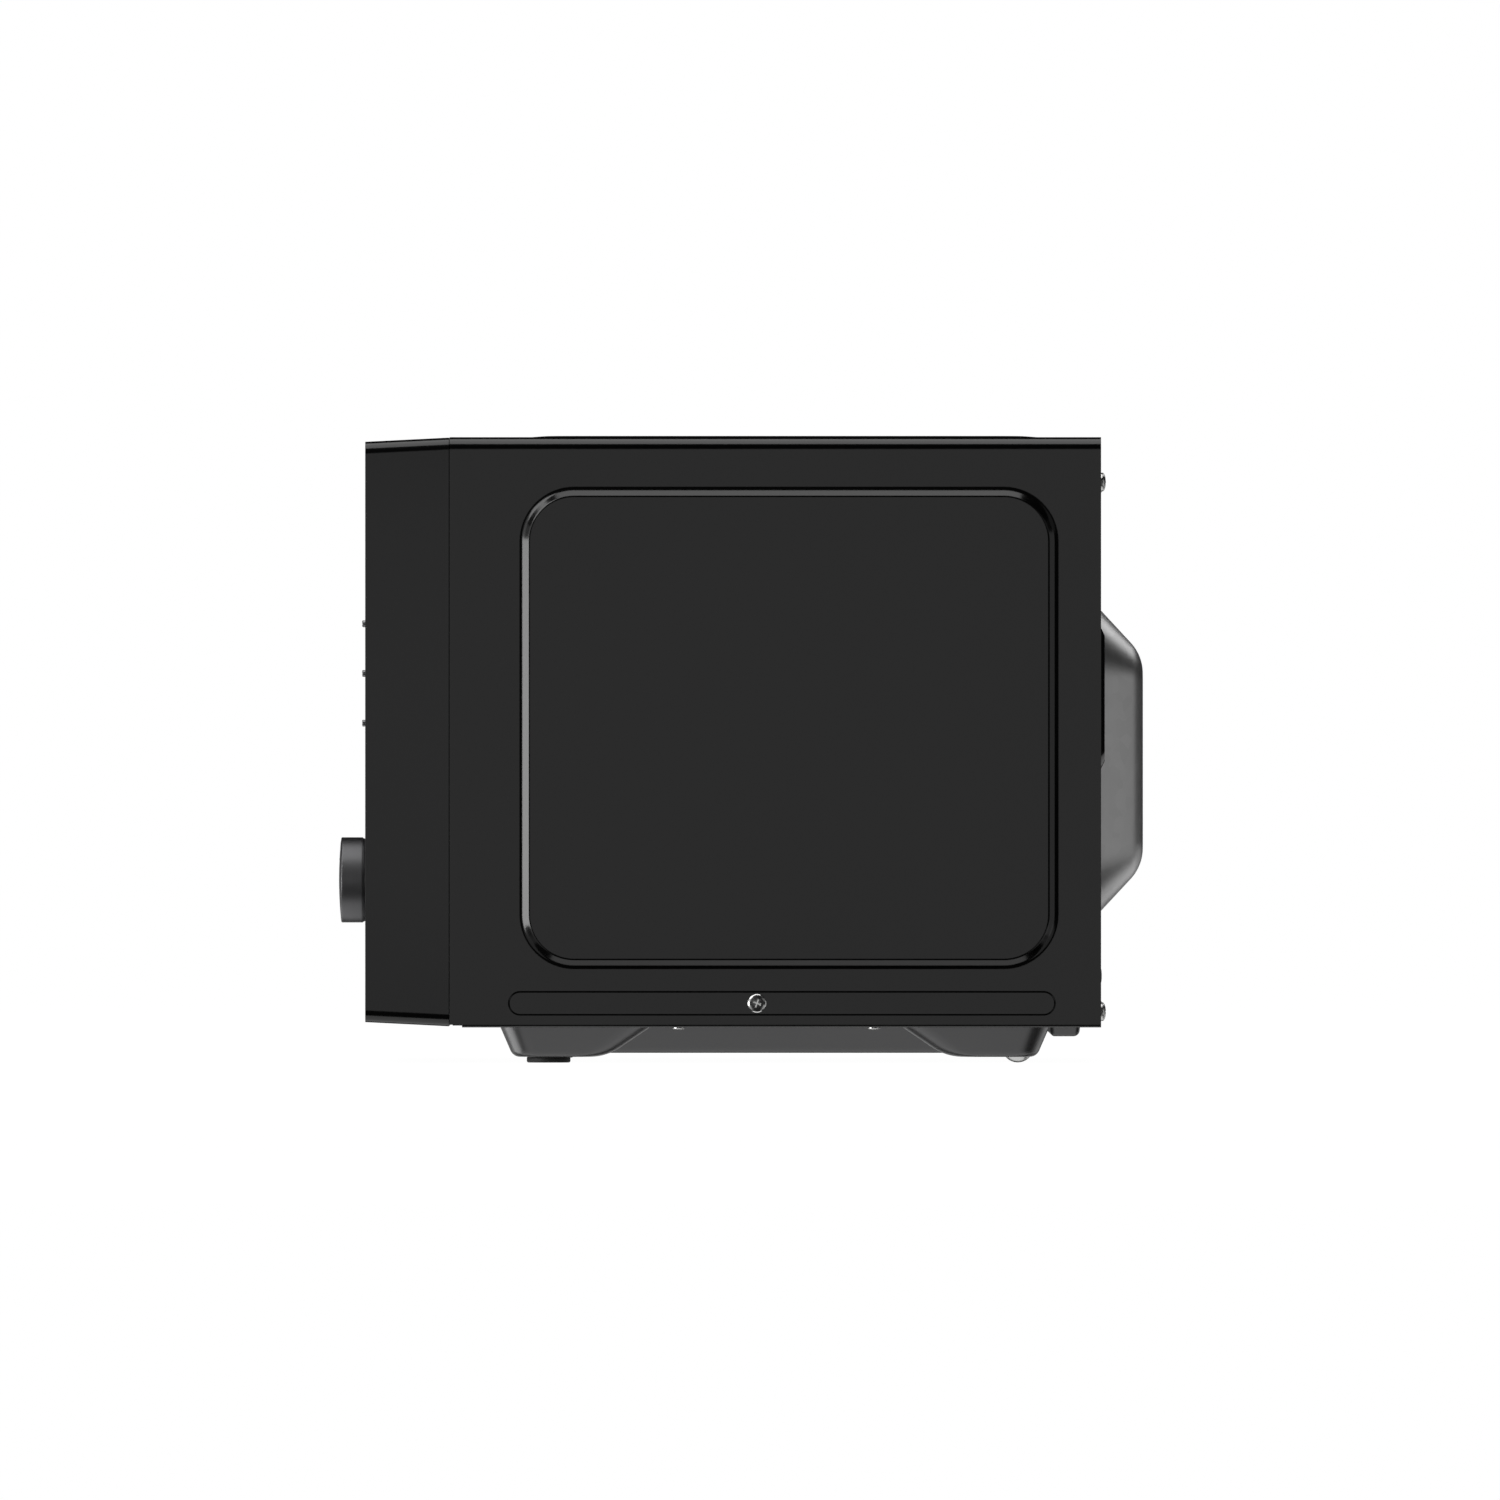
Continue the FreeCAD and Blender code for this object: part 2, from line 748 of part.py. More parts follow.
def make_lamp_and_sensors():
    x = cav_right
    lens = rod(V(x - lamp_lens_depth, lamp_y(), lamp_z()), X_AXIS, lamp_hole_r + lamp_lap, lamp_lens_depth)
    rim = [e for e in lens.Edges if abs(e.CenterOfMass.x - x + lamp_lens_depth) < near]
    parts["lamp_lens"] = lens.makeFillet(lamp_edge, rim)
    x_base = x + 1 + bulb_length
    bulb = rod(V(x + 1, lamp_y(), lamp_z()), X_AXIS, bulb_r, bulb_length)
    base = rod(V(x_base, lamp_y(), lamp_z()), X_AXIS, lamp_base_r, divider_x - x_base - 0.5)
    parts["oven_lamp"] = fuse([bulb, base])
    tip = rod(V(x - probe_reach, probe_y(), lamp_z()), X_AXIS, probe_r, probe_reach + probe_tail)
    nut = rod(V(x + sheet, probe_y(), lamp_z()), X_AXIS, probe_nut_r, probe_nut_length)
    parts["temperature_probe"] = fuse([tip, nut])


def make_insulation():
    y1 = y_cavity_back - pad_rear_gap
    top = box(cav_left + 2, cav_right - 2, y_cavity + pad_front_gap, y1,
              cav_top + sheet, cav_top + sheet + pad_top_thick)
    left = box(cav_left - sheet - pad_side_thick, cav_left - sheet,
               hinge_y + stay_radius + stay_width / 2 + 10, y1, cav_floor + 6, cav_top - 6)
    parts["insulation_pads"] = group([top, left])


def make_bay_divider():
    wall = box(divider_x, divider_x + sheet, y_cavity, y_rear_sheet, base_top, cabinet_top - 5)
    away = [box(divider_x - 1, divider_x + 2, y_cavity - 1, y_cabinet + clear, base_top - 1,
                base_top + bezel_wall + 1)]
    for i in range(louvre_count):
        y = y_back - louvre_inset - louvre_pitch * i
        away.append(box(divider_x - 1, divider_x + 2, y, y + louvre_width,
                        cabinet_bottom + louvre_low, cabinet_bottom + louvre_high))
    parts["bay_divider"] = cut(wall, away)


def make_runners():
    y0 = y_cavity + runner_start
    y1 = y_cavity_back - runner_end
    low = runner_levels[0] - runner_below
    high = runner_levels[-1] + runner_above
    for name, x, side in (("rack_runner_left", cav_left, 1), ("rack_runner_right", cav_right, -1)):
        xs = sorted((x, x + side * runner_plate))
        pieces = [box(*xs, y0, y1, low, high)]
        for z in runner_levels:
            xs = sorted((x, x + side * runner_ledge))
            pieces.append(box(*xs, y0, y1, z - runner_ledge_thick, z))
        parts[name] = fuse(pieces)


# Heaters

def heater_places():
    levels = (cav_floor + heater_floor_rise, cav_top - heater_wall_drop)
    return [(y, z) for y in (y_cavity + heater_front, y_cavity_back - heater_rear) for z in levels]


def make_heaters():
    lower = []
    upper = []
    insulators = []
    for y, z in heater_places():
        tube = rod(V(cav_left + 1, y, z), X_AXIS, heater_r, cav_right - cav_left - 2)
        (upper if z > fan_height else lower).append(tube)
        for x, side in ((cav_left, 1), (cav_right, -1)):
            block = rod(V(x, y, z), V(side, 0, 0), insulator_r, insulator_length)
            insulators.append(block.cut(rod(V(x + side, y, z), V(side, 0, 0), heater_r,
                                            insulator_length)))
    parts["upper_heaters"] = group(upper)
    parts["lower_heaters"] = group(lower)
    parts["heater_insulators"] = group(insulators)


# Convection fan

def blade_fan(y0, depth, radius, hub_r, count, twist, bore):
    hub = rod(V(fan_x, y0, fan_height), Y_AXIS, hub_r, depth)
    vanes = []
    for i in range(count):
        vane = box(hub_r - 1.5, radius, -depth / 2, depth / 2, -blade_thick / 2, blade_thick / 2)
        vane.rotate(V(0, 0, 0), X_AXIS, twist)
        reach = vane.BoundBox
        grow = depth / max(reach.YLength, depth)
        vane = vane.common(box(0, radius * 2, -depth / 2 * grow, depth / 2 * grow, -20, 20))
        vane.translate(V(fan_x, y0 + depth / 2, fan_height))
        vane.rotate(V(fan_x, 0, fan_height), Y_AXIS, 360 * i / count)
        vanes.append(vane)
    return fuse([hub] + vanes).cut(rod(V(fan_x, y0 - 1, fan_height), Y_AXIS, bore, depth + 2))


def make_fan():
    y_fan = y_cavity_back - fan_to_back - fan_depth
    parts["fan_blade"] = blade_fan(y_fan, fan_depth, fan_r, fan_hub_r, fan_blades, fan_twist, shaft_r)
    y_cool = y_cavity_back + sheet + cooling_gap
    parts["cooling_blade"] = blade_fan(y_cool, cooling_depth, cooling_r, cooling_hub_r, cooling_blades,
                                       cooling_twist, shaft_r)
    start = y_fan - shaft_nose
    end = y_stack + stack_thick + shaft_tail
    shaft = rod(V(fan_x, start, fan_height), Y_AXIS, shaft_r, end - start)
    rotor = rod(V(fan_x, y_stack, fan_height), Y_AXIS, rotor_r, stack_thick)
    parts["motor_shaft"] = fuse([shaft, rotor])


def make_fan_grille():
    front = y_cavity_back - grille_depth
    dish = rod(V(fan_x, front, fan_height), Y_AXIS, grille_r, grille_depth)
    rim = [e for e in dish.Edges if abs(e.CenterOfMass.y - front) < near and abs(e.Length) > 10]
    dish = dish.makeFillet(grille_edge, rim)
    inner = rod(V(fan_x, front + grille_sheet, fan_height), Y_AXIS, grille_r - grille_sheet, grille_depth)
    rim = [e for e in inner.Edges if abs(e.CenterOfMass.y - front - grille_sheet) < near and abs(e.Length) > 10]
    dish = dish.cut(inner.makeFillet(grille_edge - grille_sheet, rim))
    away = []
    for ring in range(1, grille_rings + 1):
        radius = ring * grille_pitch
        count = int(2 * math.pi * radius / grille_pitch)
        for i in range(count):
            a = 2 * math.pi * (i + 0.5 * (ring % 2)) / count
            spot = V(fan_x + radius * math.cos(a), front - 1, fan_height + radius * math.sin(a))
            away.append(rod(spot, Y_AXIS, grille_hole_r, 3))
    away.append(rod(V(fan_x, front - 1, fan_height), Y_AXIS, grille_hole_r, 3))
    for i in range(grille_side_holes):
        a = 2 * math.pi * i / grille_side_holes
        spot = V(fan_x + (grille_r - 3) * math.cos(a), front + grille_depth * 0.6,
                 fan_height + (grille_r - 3) * math.sin(a))
        away.append(rod(spot, V(math.cos(a), 0, math.sin(a)), grille_side_hole_r, 6))
    parts["fan_grille"] = cut(dish, away)


def make_motor():
    x, z = fan_x, fan_height
    arm = cooling_r + 6
    plate = box(x - arm - 4, x + arm + 4, y_bracket, y_stack, z - bracket_half, z + bracket_half)
    legs = [rod(V(x + side * arm, y_cavity_back + sheet, z + dz), Y_AXIS, bracket_leg_r,
                y_bracket - y_cavity_back - sheet) for side in (-1, 1) for dz in (-10, 10)]
    bracket = fuse([plate] + legs)
    parts["motor_bracket"] = bracket.cut(rod(V(x, y_bracket - 1, z), Y_AXIS, shaft_r + running, 5))
    y0, y1 = y_stack, y_stack + stack_thick
    core = box(x - stack_half, x + stack_half, y0, y1, z - stack_half * stack_low,
               z + stack_half * stack_high)
    window_box = box(x - coil_half - 5, x + coil_half + 5, y0 - 1, y1 + 1, z - stack_half * coil_bar,
                     z - stack_half * 0.6)
    bore = rod(V(x, y0 - 1, z), Y_AXIS, rotor_r + rotor_gap, stack_thick + 2)
    parts["motor_stator"] = cut(core, [window_box, bore])
    bar_low = z - stack_half * stack_low
    bar_high = z - stack_half * coil_bar
    coil = box(x - coil_half, x + coil_half, y0 - bracket_thick, y1 + 3, bar_low - 6, bar_high + 8)
    parts["motor_coil"] = coil.cut(box(x - coil_half - 1, x + coil_half + 1, y0, y1, bar_low, bar_high))


# Rear panel and motor cover

def cover_rect():
    return (fan_x - cover_width / 2, fan_x + cover_width / 2,
            fan_height - cover_height / 2, fan_height + cover_height / 2)


def vent_rect():
    x = (divider_x + half) / 2
    z = fan_height + vent_rise
    return (x - vent_width / 2, x + vent_width / 2, z - vent_height / 2, z + vent_height / 2)


def gland_x():
    return (divider_x + half) / 2


def gland_z():
    return cabinet_bottom + gland_rise


def rear_screw_places():
    xs = (-half + rear_screw_inset, fan_x - cover_width / 2 - rear_screw_left_gap,
          fan_x + cover_width / 2 + rear_screw_right_gap,
          half - rear_screw_inset)
    return [(x, z) for x in xs for z in (cabinet_bottom + rear_screw_rise, cabinet_top - rear_screw_drop)]


def rivet_places():
    return [(half - 30, cabinet_bottom + rivet_rise), (-half + 30, cabinet_bottom + rivet_rise)]


def cover_screw_places():
    x0, x1, z0, z1 = cover_rect()
    sides = [(x, (z0 + z1) / 2) for x in (x0 - cover_screw_gap, x1 + cover_screw_gap)]
    return sides + [(fan_x + dx, z) for z in (z0 - cover_screw_gap, z1 + cover_screw_gap)
                    for dx in (-cover_screw_spread, cover_screw_spread)]


def make_rear_panel():
    edge = half - sheet - 0.2
    panel = box(-edge, edge, y_rear_sheet, y_back, base_top - base_sheet, cabinet_top - sheet - 0.2)
    corner_edges = [e for e in panel.Edges if abs(e.tangentAt(e.FirstParameter).y) > 0.9]
    panel = panel.makeFillet(top_bend - sheet, corner_edges)
    vent = vent_rect()
    raised = frustum(at_y, y_back - 0.01, y_back + vent_proud, vent, inset(vent, vent_slope), vent_corner,
                     vent_corner - 2)
    hollow = frustum(at_y, y_rear_sheet - 0.01, y_back - sheet + vent_proud, vent,
                     inset(vent, vent_slope), vent_corner, vent_corner - 2)
    pocket_back = rod(V(gland_x(), y_back - gland_pocket - sheet, gland_z()), Y_AXIS,
                      gland_flange_r + over + sheet, gland_pocket + sheet)
    panel = fuse([panel, raised, pocket_back])
    away = [hollow,
            slab(at_y(y_rear_sheet - 1), *inset(cover_rect(), -clear), cover_corner + clear, V(0, 3, 0)),
            rod(V(gland_x(), y_back - gland_pocket, gland_z()), Y_AXIS, gland_flange_r + over, 5),
            rod(V(gland_x(), y_back - 8, gland_z()), Y_AXIS, gland_body_r, 10)]
    u0, u1, v0, v1 = inset(vent, vent_slope + vent_border)
    columns = int((u1 - u0) / vent_pitch)
    rows = int((v1 - v0) / vent_pitch)
    for i in range(columns + 1):
        for j in range(rows + 1):
            x = (u0 + u1) / 2 + (i - columns / 2) * vent_pitch
            z = (v0 + v1) / 2 + (j - rows / 2) * vent_pitch
            away.append(rod(V(x, y_back - 1, z), Y_AXIS, vent_hole_r, 5))
    for x, z in rear_screw_places():
        away.append(rod(V(x, y_back - 2, z), Y_AXIS, screw_shank_r, 4))
    for x, z in cover_screw_places():
        away.append(rod(V(x, y_back - 2, z), Y_AXIS, screw_shank_r, 4))
    for x, z in rivet_places():
        away.append(rod(V(x, y_back - 2, z), Y_AXIS, rivet_r - 1, 4))
    parts["rear_panel"] = cut(panel, away)


def make_motor_cover():
    rect = cover_rect()
    far = inset(rect, cover_slope)
    y0 = y_rear_sheet
    tip = y_back + cover_depth
    grow = cover_slope * sheet / cover_depth
    outer = frustum(at_y, y0, tip, inset(rect, -grow), far, cover_corner + grow, cover_corner - 14)
    rim = [e for e in outer.Edges if abs(e.CenterOfMass.y - tip) < near]
    outer = outer.makeFillet(cover_fillet, rim)
    inner = frustum(at_y, y0 - sheet - 0.2, tip - sheet, inset(rect, -grow * 0.25), inset(far, 0.6),
                    cover_corner, cover_corner - 14.6)
    rim = [e for e in inner.Edges if abs(e.CenterOfMass.y - tip + sheet) < near]
    inner = inner.makeFillet(cover_fillet - sheet, rim)
    flange = slab(at_y(y0 - sheet), *inset(rect, -cover_flange), cover_corner, V(0, sheet, 0))
    opening = slab(at_y(y_back - 4), *inset(rect, -clear), cover_corner + clear, V(0, 60, 0))
    shell = fuse([outer.common(opening), flange]).cut(inner)
    holes = [rod(V(x, y_back - 4, z), Y_AXIS, screw_shank_r, 6) for x, z in cover_screw_places()]
    parts["motor_cover"] = cut(shell, holes)


def make_rear_fasteners():
    parts["rear_screws"] = group(screw(V(x, y_back, z), Y_AXIS, screw_head_r, screw_head_height,
                                       screw_shank) for x, z in rear_screw_places())
    parts["cover_screws"] = group(screw(V(x, y_back, z), Y_AXIS, screw_head_r - 1,
                                        screw_head_height - 0.7, screw_shank)
                                  for x, z in cover_screw_places())
    parts["snap_rivets"] = group(screw(V(x, y_back, z), Y_AXIS, rivet_r, rivet_proud, screw_shank)
                                 for x, z in rivet_places())


def make_cord_gland():
    start = V(gland_x(), y_back - gland_pocket, gland_z())
    flange = rod(start, Y_AXIS, gland_flange_r, gland_flange)
    body = rod(start + Y_AXIS * (gland_flange - gland_length), Y_AXIS, gland_body_r, gland_length)
    bore = rod(start + Y_AXIS * (gland_flange - gland_length - 1), Y_AXIS, gland_bore_r, gland_length + 2)
    parts["cord_gland"] = fuse([flange, body]).cut(bore)


# Controls

def make_control_fascia():
    panel = box(fascia_left + clear, fascia_right - clear, y_front, y_front + fascia_thick,
                fascia_low_z + clear, fascia_high_z - clear)
    away = [box(control_x - display_width / 2, control_x + display_width / 2, y_front - 1,
                y_front + fascia_thick + 1, display_centre - display_height / 2,
                display_centre + display_height / 2),
            rod(V(control_x, y_front - 1, knob_height), Y_AXIS, encoder_bush_r + 0.1, 8)]
    for z in key_rows:
        away.append(box(control_x - key_width / 2 - key_gap, control_x + key_width / 2 + key_gap,
                        y_front - 1, y_front + fascia_thick + 1, z - key_height / 2 - key_gap,
                        z + key_height / 2 + key_gap))
    parts["control_fascia"] = cut(panel, away)


def make_display():
    w = display_width / 2 - 0.2
    h = display_height / 2 - 0.2
    parts["display_lens"] = box(control_x - w, control_x + w, y_front, y_front + lens_thick,
                                display_centre - h, display_centre + h)
    parts["display_module"] = box(control_x - w + 3, control_x + w - 3, y_front + lens_thick,
                                  y_board, display_centre - h + 3, display_centre + h - 3)


def make_keys():
    switches = []
    for number, z in enumerate(key_rows, 1):
        bar = box(control_x - key_width / 2, control_x + key_width / 2, y_front - key_proud,
                  y_front + fascia_thick + 0.5, z - key_height / 2, z + key_height / 2)
        ends = [e for e in bar.Edges if abs(e.tangentAt(e.FirstParameter).y) > 0.9]
        bar = bar.makeFillet(key_height / 2 - 0.1, ends)
        nose = [e for e in bar.Edges if abs(e.CenterOfMass.y - y_front + key_proud) < near]
        bar = bar.makeFillet(key_edge, nose)
        y_flange = y_front + fascia_thick + 0.2
        flange = box(control_x - key_width / 2 - key_flange, control_x + key_width / 2 + key_flange,
                     y_flange, y_flange + key_flange_thick, z - key_height / 2 - key_flange,
                     z + key_height / 2 + key_flange)
        tip = y_board - switch_depth - key_travel - 0.2
        stem = rod(V(control_x, y_flange, z), Y_AXIS, key_stem_r, tip - y_flange)
        parts["key_bar_%d" % number] = fuse([bar, flange, stem])
        case = box(control_x - switch_half, control_x + switch_half, y_board - switch_case, y_board,
                   z - switch_half, z + switch_half)
        pip = rod(V(control_x, y_board - switch_depth, z), Y_AXIS, switch_pip_r, switch_depth)
        switches.append(fuse([case, pip]))
    parts["key_switches"] = group(switches)


def make_control_board():
    parts["control_board"] = box(fascia_left + board_side_gap, fascia_right - board_side_gap,
                                 y_board, y_board + board_thick,
                                 fascia_low_z + board_low_gap, fascia_high_z - board_high_gap)


def make_knob():
    y0 = y_front - knob_proud
    y1 = y_front - knob_gap
    cap = rod(V(control_x, y0, knob_height), Y_AXIS, knob_r, y1 - y0)
    edge = [e for e in cap.Edges if abs(e.CenterOfMass.y - y0) < near and e.Length > 10]
    cap = cap.makeFillet(knob_edge, edge)
    hole = rod(V(control_x, y1 - knob_bore_depth, knob_height), Y_AXIS, encoder_shaft_r, 20)
    hollow = rod(V(control_x, y1 - knob_hollow, knob_height), Y_AXIS, knob_r - knob_wall, knob_hollow + over)
    hub = rod(V(control_x, y1 - knob_hollow, knob_height), Y_AXIS, encoder_shaft_r + knob_wall, knob_hollow)
    parts["knob"] = fuse([cap.cut(hollow), hub]).cut(hole)
    start = y1 - knob_bore_depth
    end = y_board - encoder_depth + 3
    parts["encoder_shaft"] = rod(V(control_x, start, knob_height), Y_AXIS, encoder_shaft_r, end - start)
    case = box(control_x - encoder_size / 2, control_x + encoder_size / 2, y_board - encoder_depth,
               y_board, knob_height - encoder_size / 2, knob_height + encoder_size / 2)
    bush = rod(V(control_x, y_front + 0.5, knob_height), Y_AXIS, encoder_bush_r,
               board_back - encoder_depth)
    bore = rod(V(control_x, y_front - 1, knob_height), Y_AXIS, encoder_shaft_r + running,
               end + 0.3 - y_front + 1)
    parts["encoder_body"] = fuse([case, bush]).cut(bore)


def make_power_board():
    x = half - sheet - power_from_side
    y0 = y_front + power_end_gap
    y1 = y_back - power_end_gap
    z0 = cabinet_bottom + power_low
    pieces = [box(x - board_thick, x, y0, y1, z0, z0 + power_height)]
    for i in range(relay_count):
        y = y0 + 12 + relay_pitch * i
        pieces.append(box(x - relay_depth, x - board_thick, y, y + relay_length,
                          z0 + 20, z0 + 20 + relay_height))
    pieces.append(box(x - transformer_depth, x - board_thick, y0 + 20, y0 + 20 + transformer_length,
                      z0 + 70, z0 + 70 + transformer_height))
    pieces.append(rod(V(x - capacitor_length, y1 - 40, z0 + 90), X_AXIS, capacitor_r,
                      capacitor_length - board_thick))
    parts["power_board"] = fuse(pieces)


# Base plate, feet and screws

def pan_press(rect, slopes, z_face, corner, d):
    # A pressed-down field: d moves it up by the sheet, so that two of them leave a wall
    small = inset(rect, *slopes)
    z_top = base_top - base_sheet + d
    press = frustum(at_z, z_top + 0.01, z_face + d, rect, small, corner, corner - press_fillet)
    face_edges = [e for e in press.Edges if abs(e.CenterOfMass.z - z_face - d) < near]
    return press.makeFillet(press_fillet - d, face_edges)


def base_fields():
    z = base_top - base_sheet
    fields = []
    side = half - boss_side_in
    front = y_front + front_boss_start
    rear = y_back - rear_boss_end
    for y0, y1, s0, s1 in ((front, front + front_boss_length, boss_steep, boss_gentle),
                           (rear - rear_boss_length, rear, boss_gentle, boss_steep)):
        for x0, x1 in ((-side, -side + boss_width), (side - boss_width, side)):
            slopes = (boss_side_slope, boss_side_slope, s0, s1)
            fields.append(((x0, x1, y0, y1), slopes, z - boss_depth))
    dish = (-half + dish_side, half - dish_side, y_front + dish_front, y_back - dish_rear)
    fields.append((dish, (dish_slope, dish_slope, dish_slope, dish_slope), z - dish_depth))
    return fields


def make_base_plate():
    z0 = base_top - base_sheet
    edge = half - sheet - strip_depth - 0.3
    y0 = y_cabinet + frame_return
    y1 = y_rear_sheet
    plate = box(-edge, edge, y0, y1, z0, base_top)
    flanges = [box(-edge, -edge + base_sheet, y0, y1, z0, z0 + base_flange),
               box(edge - base_sheet, edge, y0, y1, z0, z0 + base_flange),
               box(cav_left, cav_right, y0, y0 + base_sheet, z0, z0 + front_flange)]
    rib = box(-half + rib_side, half - rib_side, y_back - rib_start, y_back - rib_end,
              z0 - rib_depth, z0 + 0.5)
    rib_edges = [e for e in rib.Edges if abs(e.CenterOfMass.z - z0 + rib_depth) < near
                 and abs(e.tangentAt(e.FirstParameter).x) > 0.9 and e.CenterOfMass.y > y_back - rib_start + 1]
    rib = rib.makeFillet(rib_edge, rib_edges)
    presses = [pan_press(r, s, z, boss_corner, 0) for r, s, z in base_fields()]
    hollows = [pan_press(r, s, z, boss_corner, base_sheet) for r, s, z in base_fields()]
    base = fuse([plate] + flanges + presses + [rib])
    away = list(hollows)
    for side in (-1, 1):
        away.append(rod(V(side * (half - 6), y_front + side_screw_from_front, side_screw_z()),
                        V(side, 0, 0), screw_shank_r, 8))
        for y in base_screw_from_front:
            away.append(rod(V(side * (half - bottom_return / 2), y_front + y, z0 - 1), Z_AXIS,
                            screw_shank_r, 3))
    columns = int((2 * (half - dish_side) - 80) / slot_pitch)
    length = (y_back - dish_rear - y_front - dish_front) / slot_rows - slot_space
    for i in range(columns + 1):
        for j in range(slot_rows):
            x = (i - columns / 2) * slot_pitch
            y = y_front + dish_front + slot_space / 2 + (length + slot_space) * j
            away.append(box(x - slot_width / 2, x + slot_width / 2, y, y + length, 0, z0))
    parts["base_plate"] = cut(base, away)


def make_feet():
    x = half - foot_side
    face = base_top - base_sheet - boss_depth
    pads = [rod(V(side * x, y_front + foot_from_front, 0), Z_AXIS, foot_r, face) for side in (-1, 1)]
    soft = []
    for pad in pads:
        low = [e for e in pad.Edges if abs(e.CenterOfMass.z) < near and e.Length > 10]
        soft.append(pad.makeFillet(foot_edge, low))
    parts["front_feet"] = group(soft)
    domes = [screw(V(side * x, y_back - dome_from_rear, face), -Z_AXIS, dome_r, face, 0.5)
             for side in (-1, 1)]
    parts["rear_feet"] = group(d.cut(box(-half, half, y_front, y_back, face, face + 5)) for d in domes)


def make_body_screws():
    z = side_screw_z()
    parts["side_screws"] = group(screw(V(side * (half - strip_depth), y_front + side_screw_from_front, z),
                                       V(side, 0, 0), screw_head_r, 1.6, screw_shank)
                                 for side in (-1, 1))
    parts["base_screws"] = group(screw(V(side * (half - bottom_return / 2), y_front + y, cabinet_bottom),
                                       -Z_AXIS, base_screw_r, base_screw_proud, 4)
                                 for side in (-1, 1) for y in base_screw_from_front)


# Rack, pan and tray

def tray_left():
    return cav_left + tray_inset


def tray_right():
    return cav_right - tray_inset


def round_bar_loop(x0, x1, y0, y1, z, r, corner):
    # Four straight bars and four quarter bends of round bar
    pieces = []
    for x in (x0, x1):
        pieces.append(rod(V(x, y0 + corner, z), Y_AXIS, r, y1 - y0 - 2 * corner))
    for y in (y0, y1):
        pieces.append(rod(V(x0 + corner, y, z), X_AXIS, r, x1 - x0 - 2 * corner))
    for x, y, turn in ((x1 - corner, y1 - corner, 0), (x0 + corner, y1 - corner, 90),
                       (x0 + corner, y0 + corner, 180), (x1 - corner, y0 + corner, 270)):
        bend = Part.makeTorus(corner, r, V(0, 0, 0), Z_AXIS, -180, 180, 90)
        bend.rotate(V(0, 0, 0), Z_AXIS, turn)
        bend.translate(V(x, y, z))
        pieces.append(bend)
    return pieces


def make_wire_rack():
    x0 = cav_left + rack_side_gap
    x1 = cav_right - rack_side_gap
    y0 = rack_front
    y1 = rack_front + rack_length
    bars = round_bar_loop(x0, x1, y0, y1, rack_z, rack_wire_r, rack_corner)
    count = int((x1 - x0 - 2 * rack_corner) / rack_pitch)
    for i in range(count + 1):
        x = (x0 + x1) / 2 + (i - count / 2) * rack_pitch
        bars.append(rod(V(x, y0, rack_z + rack_wire_r - rack_cross_r), Y_AXIS, rack_cross_r, y1 - y0))
    for y in (y0 + rack_length * 0.3, y0 + rack_length * 0.7):
        bars.append(rod(V(x0, y, rack_z - rack_wire_r + rack_cross_r + 0.2), X_AXIS, rack_cross_r, x1 - x0))
    parts["wire_rack"] = fuse(bars)


def make_baking_pan():
    rect = (cav_left + pan_inset + 6, cav_right - pan_inset - 6, rack_front + 8,
            rack_front + rack_length - 12)
    z0 = rack_top + 0.2
    z1 = z0 + pan_depth
    low = inset(rect, pan_draft)
    outer = frustum(at_z, z1, z0, rect, low, pan_corner, pan_corner - pan_draft)
    inner = frustum(at_z, z1 + 0.01, z0 + 1, inset(rect, 1), inset(low, 1), pan_corner - 1,
                    pan_corner - pan_draft - 1)
    rim = slab(at_z(z1 - 1), *inset(rect, -pan_rim), pan_corner + pan_rim, Z_AXIS)
    shell = fuse([outer, rim]).cut(inner)
    parts["baking_pan"] = shell


def make_crumb_tray():
    z = cav_floor + tray_gap
    y1 = y_cavity_back - tray_rear_gap
    x0 = tray_left()
    x1 = tray_right()
    floor = box(x0, x1, y_front + 0.5, y1, z, z + tray_sheet)
    sides = [box(x0, x0 + tray_sheet, y_frame, y1, z, z + tray_lip),
             box(x1 - tray_sheet, x1, y_frame, y1, z, z + tray_lip),
             box(x0, x1, y1 - tray_sheet, y1, z, z + tray_lip)]
    face = box(x0, x1, y_front, y_front + tray_front_thick, cabinet_bottom + tray_front_bottom,
               door_low - tray_front_top_gap)
    parts["crumb_tray"] = fuse([floor, face] + sides)


def make_all():
    make_outer_cabinet()
    make_front_bezel()
    make_hinge_bushes()
    make_door_frame()
    make_door_glass()
    make_door_inner_panel()
    make_door_pull_cup()
    make_hinge_pins()
    make_door_stays()
    make_front_frame()
    make_cavity()
    make_lamp_and_sensors()
    make_insulation()
    make_bay_divider()
    make_runners()
    make_heaters()
    make_fan()
    make_fan_grille()
    make_motor()
    make_rear_panel()
    make_motor_cover()
    make_rear_fasteners()
    make_cord_gland()
    make_control_fascia()
    make_display()
    make_keys()
    make_control_board()
    make_knob()
    make_power_board()
    make_base_plate()
    make_feet()
    make_body_screws()
    make_wire_rack()
    make_baking_pan()
    make_crumb_tray()


make_all()
os.makedirs("parts", exist_ok=True)
for name, shape in parts.items():
    shape.exportStep("parts/%s.step" % name)
print(len(parts), "parts written")
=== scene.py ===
import math

import bmesh
import bpy
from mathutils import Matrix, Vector
from mathutils.geometry import delaunay_2d_cdt


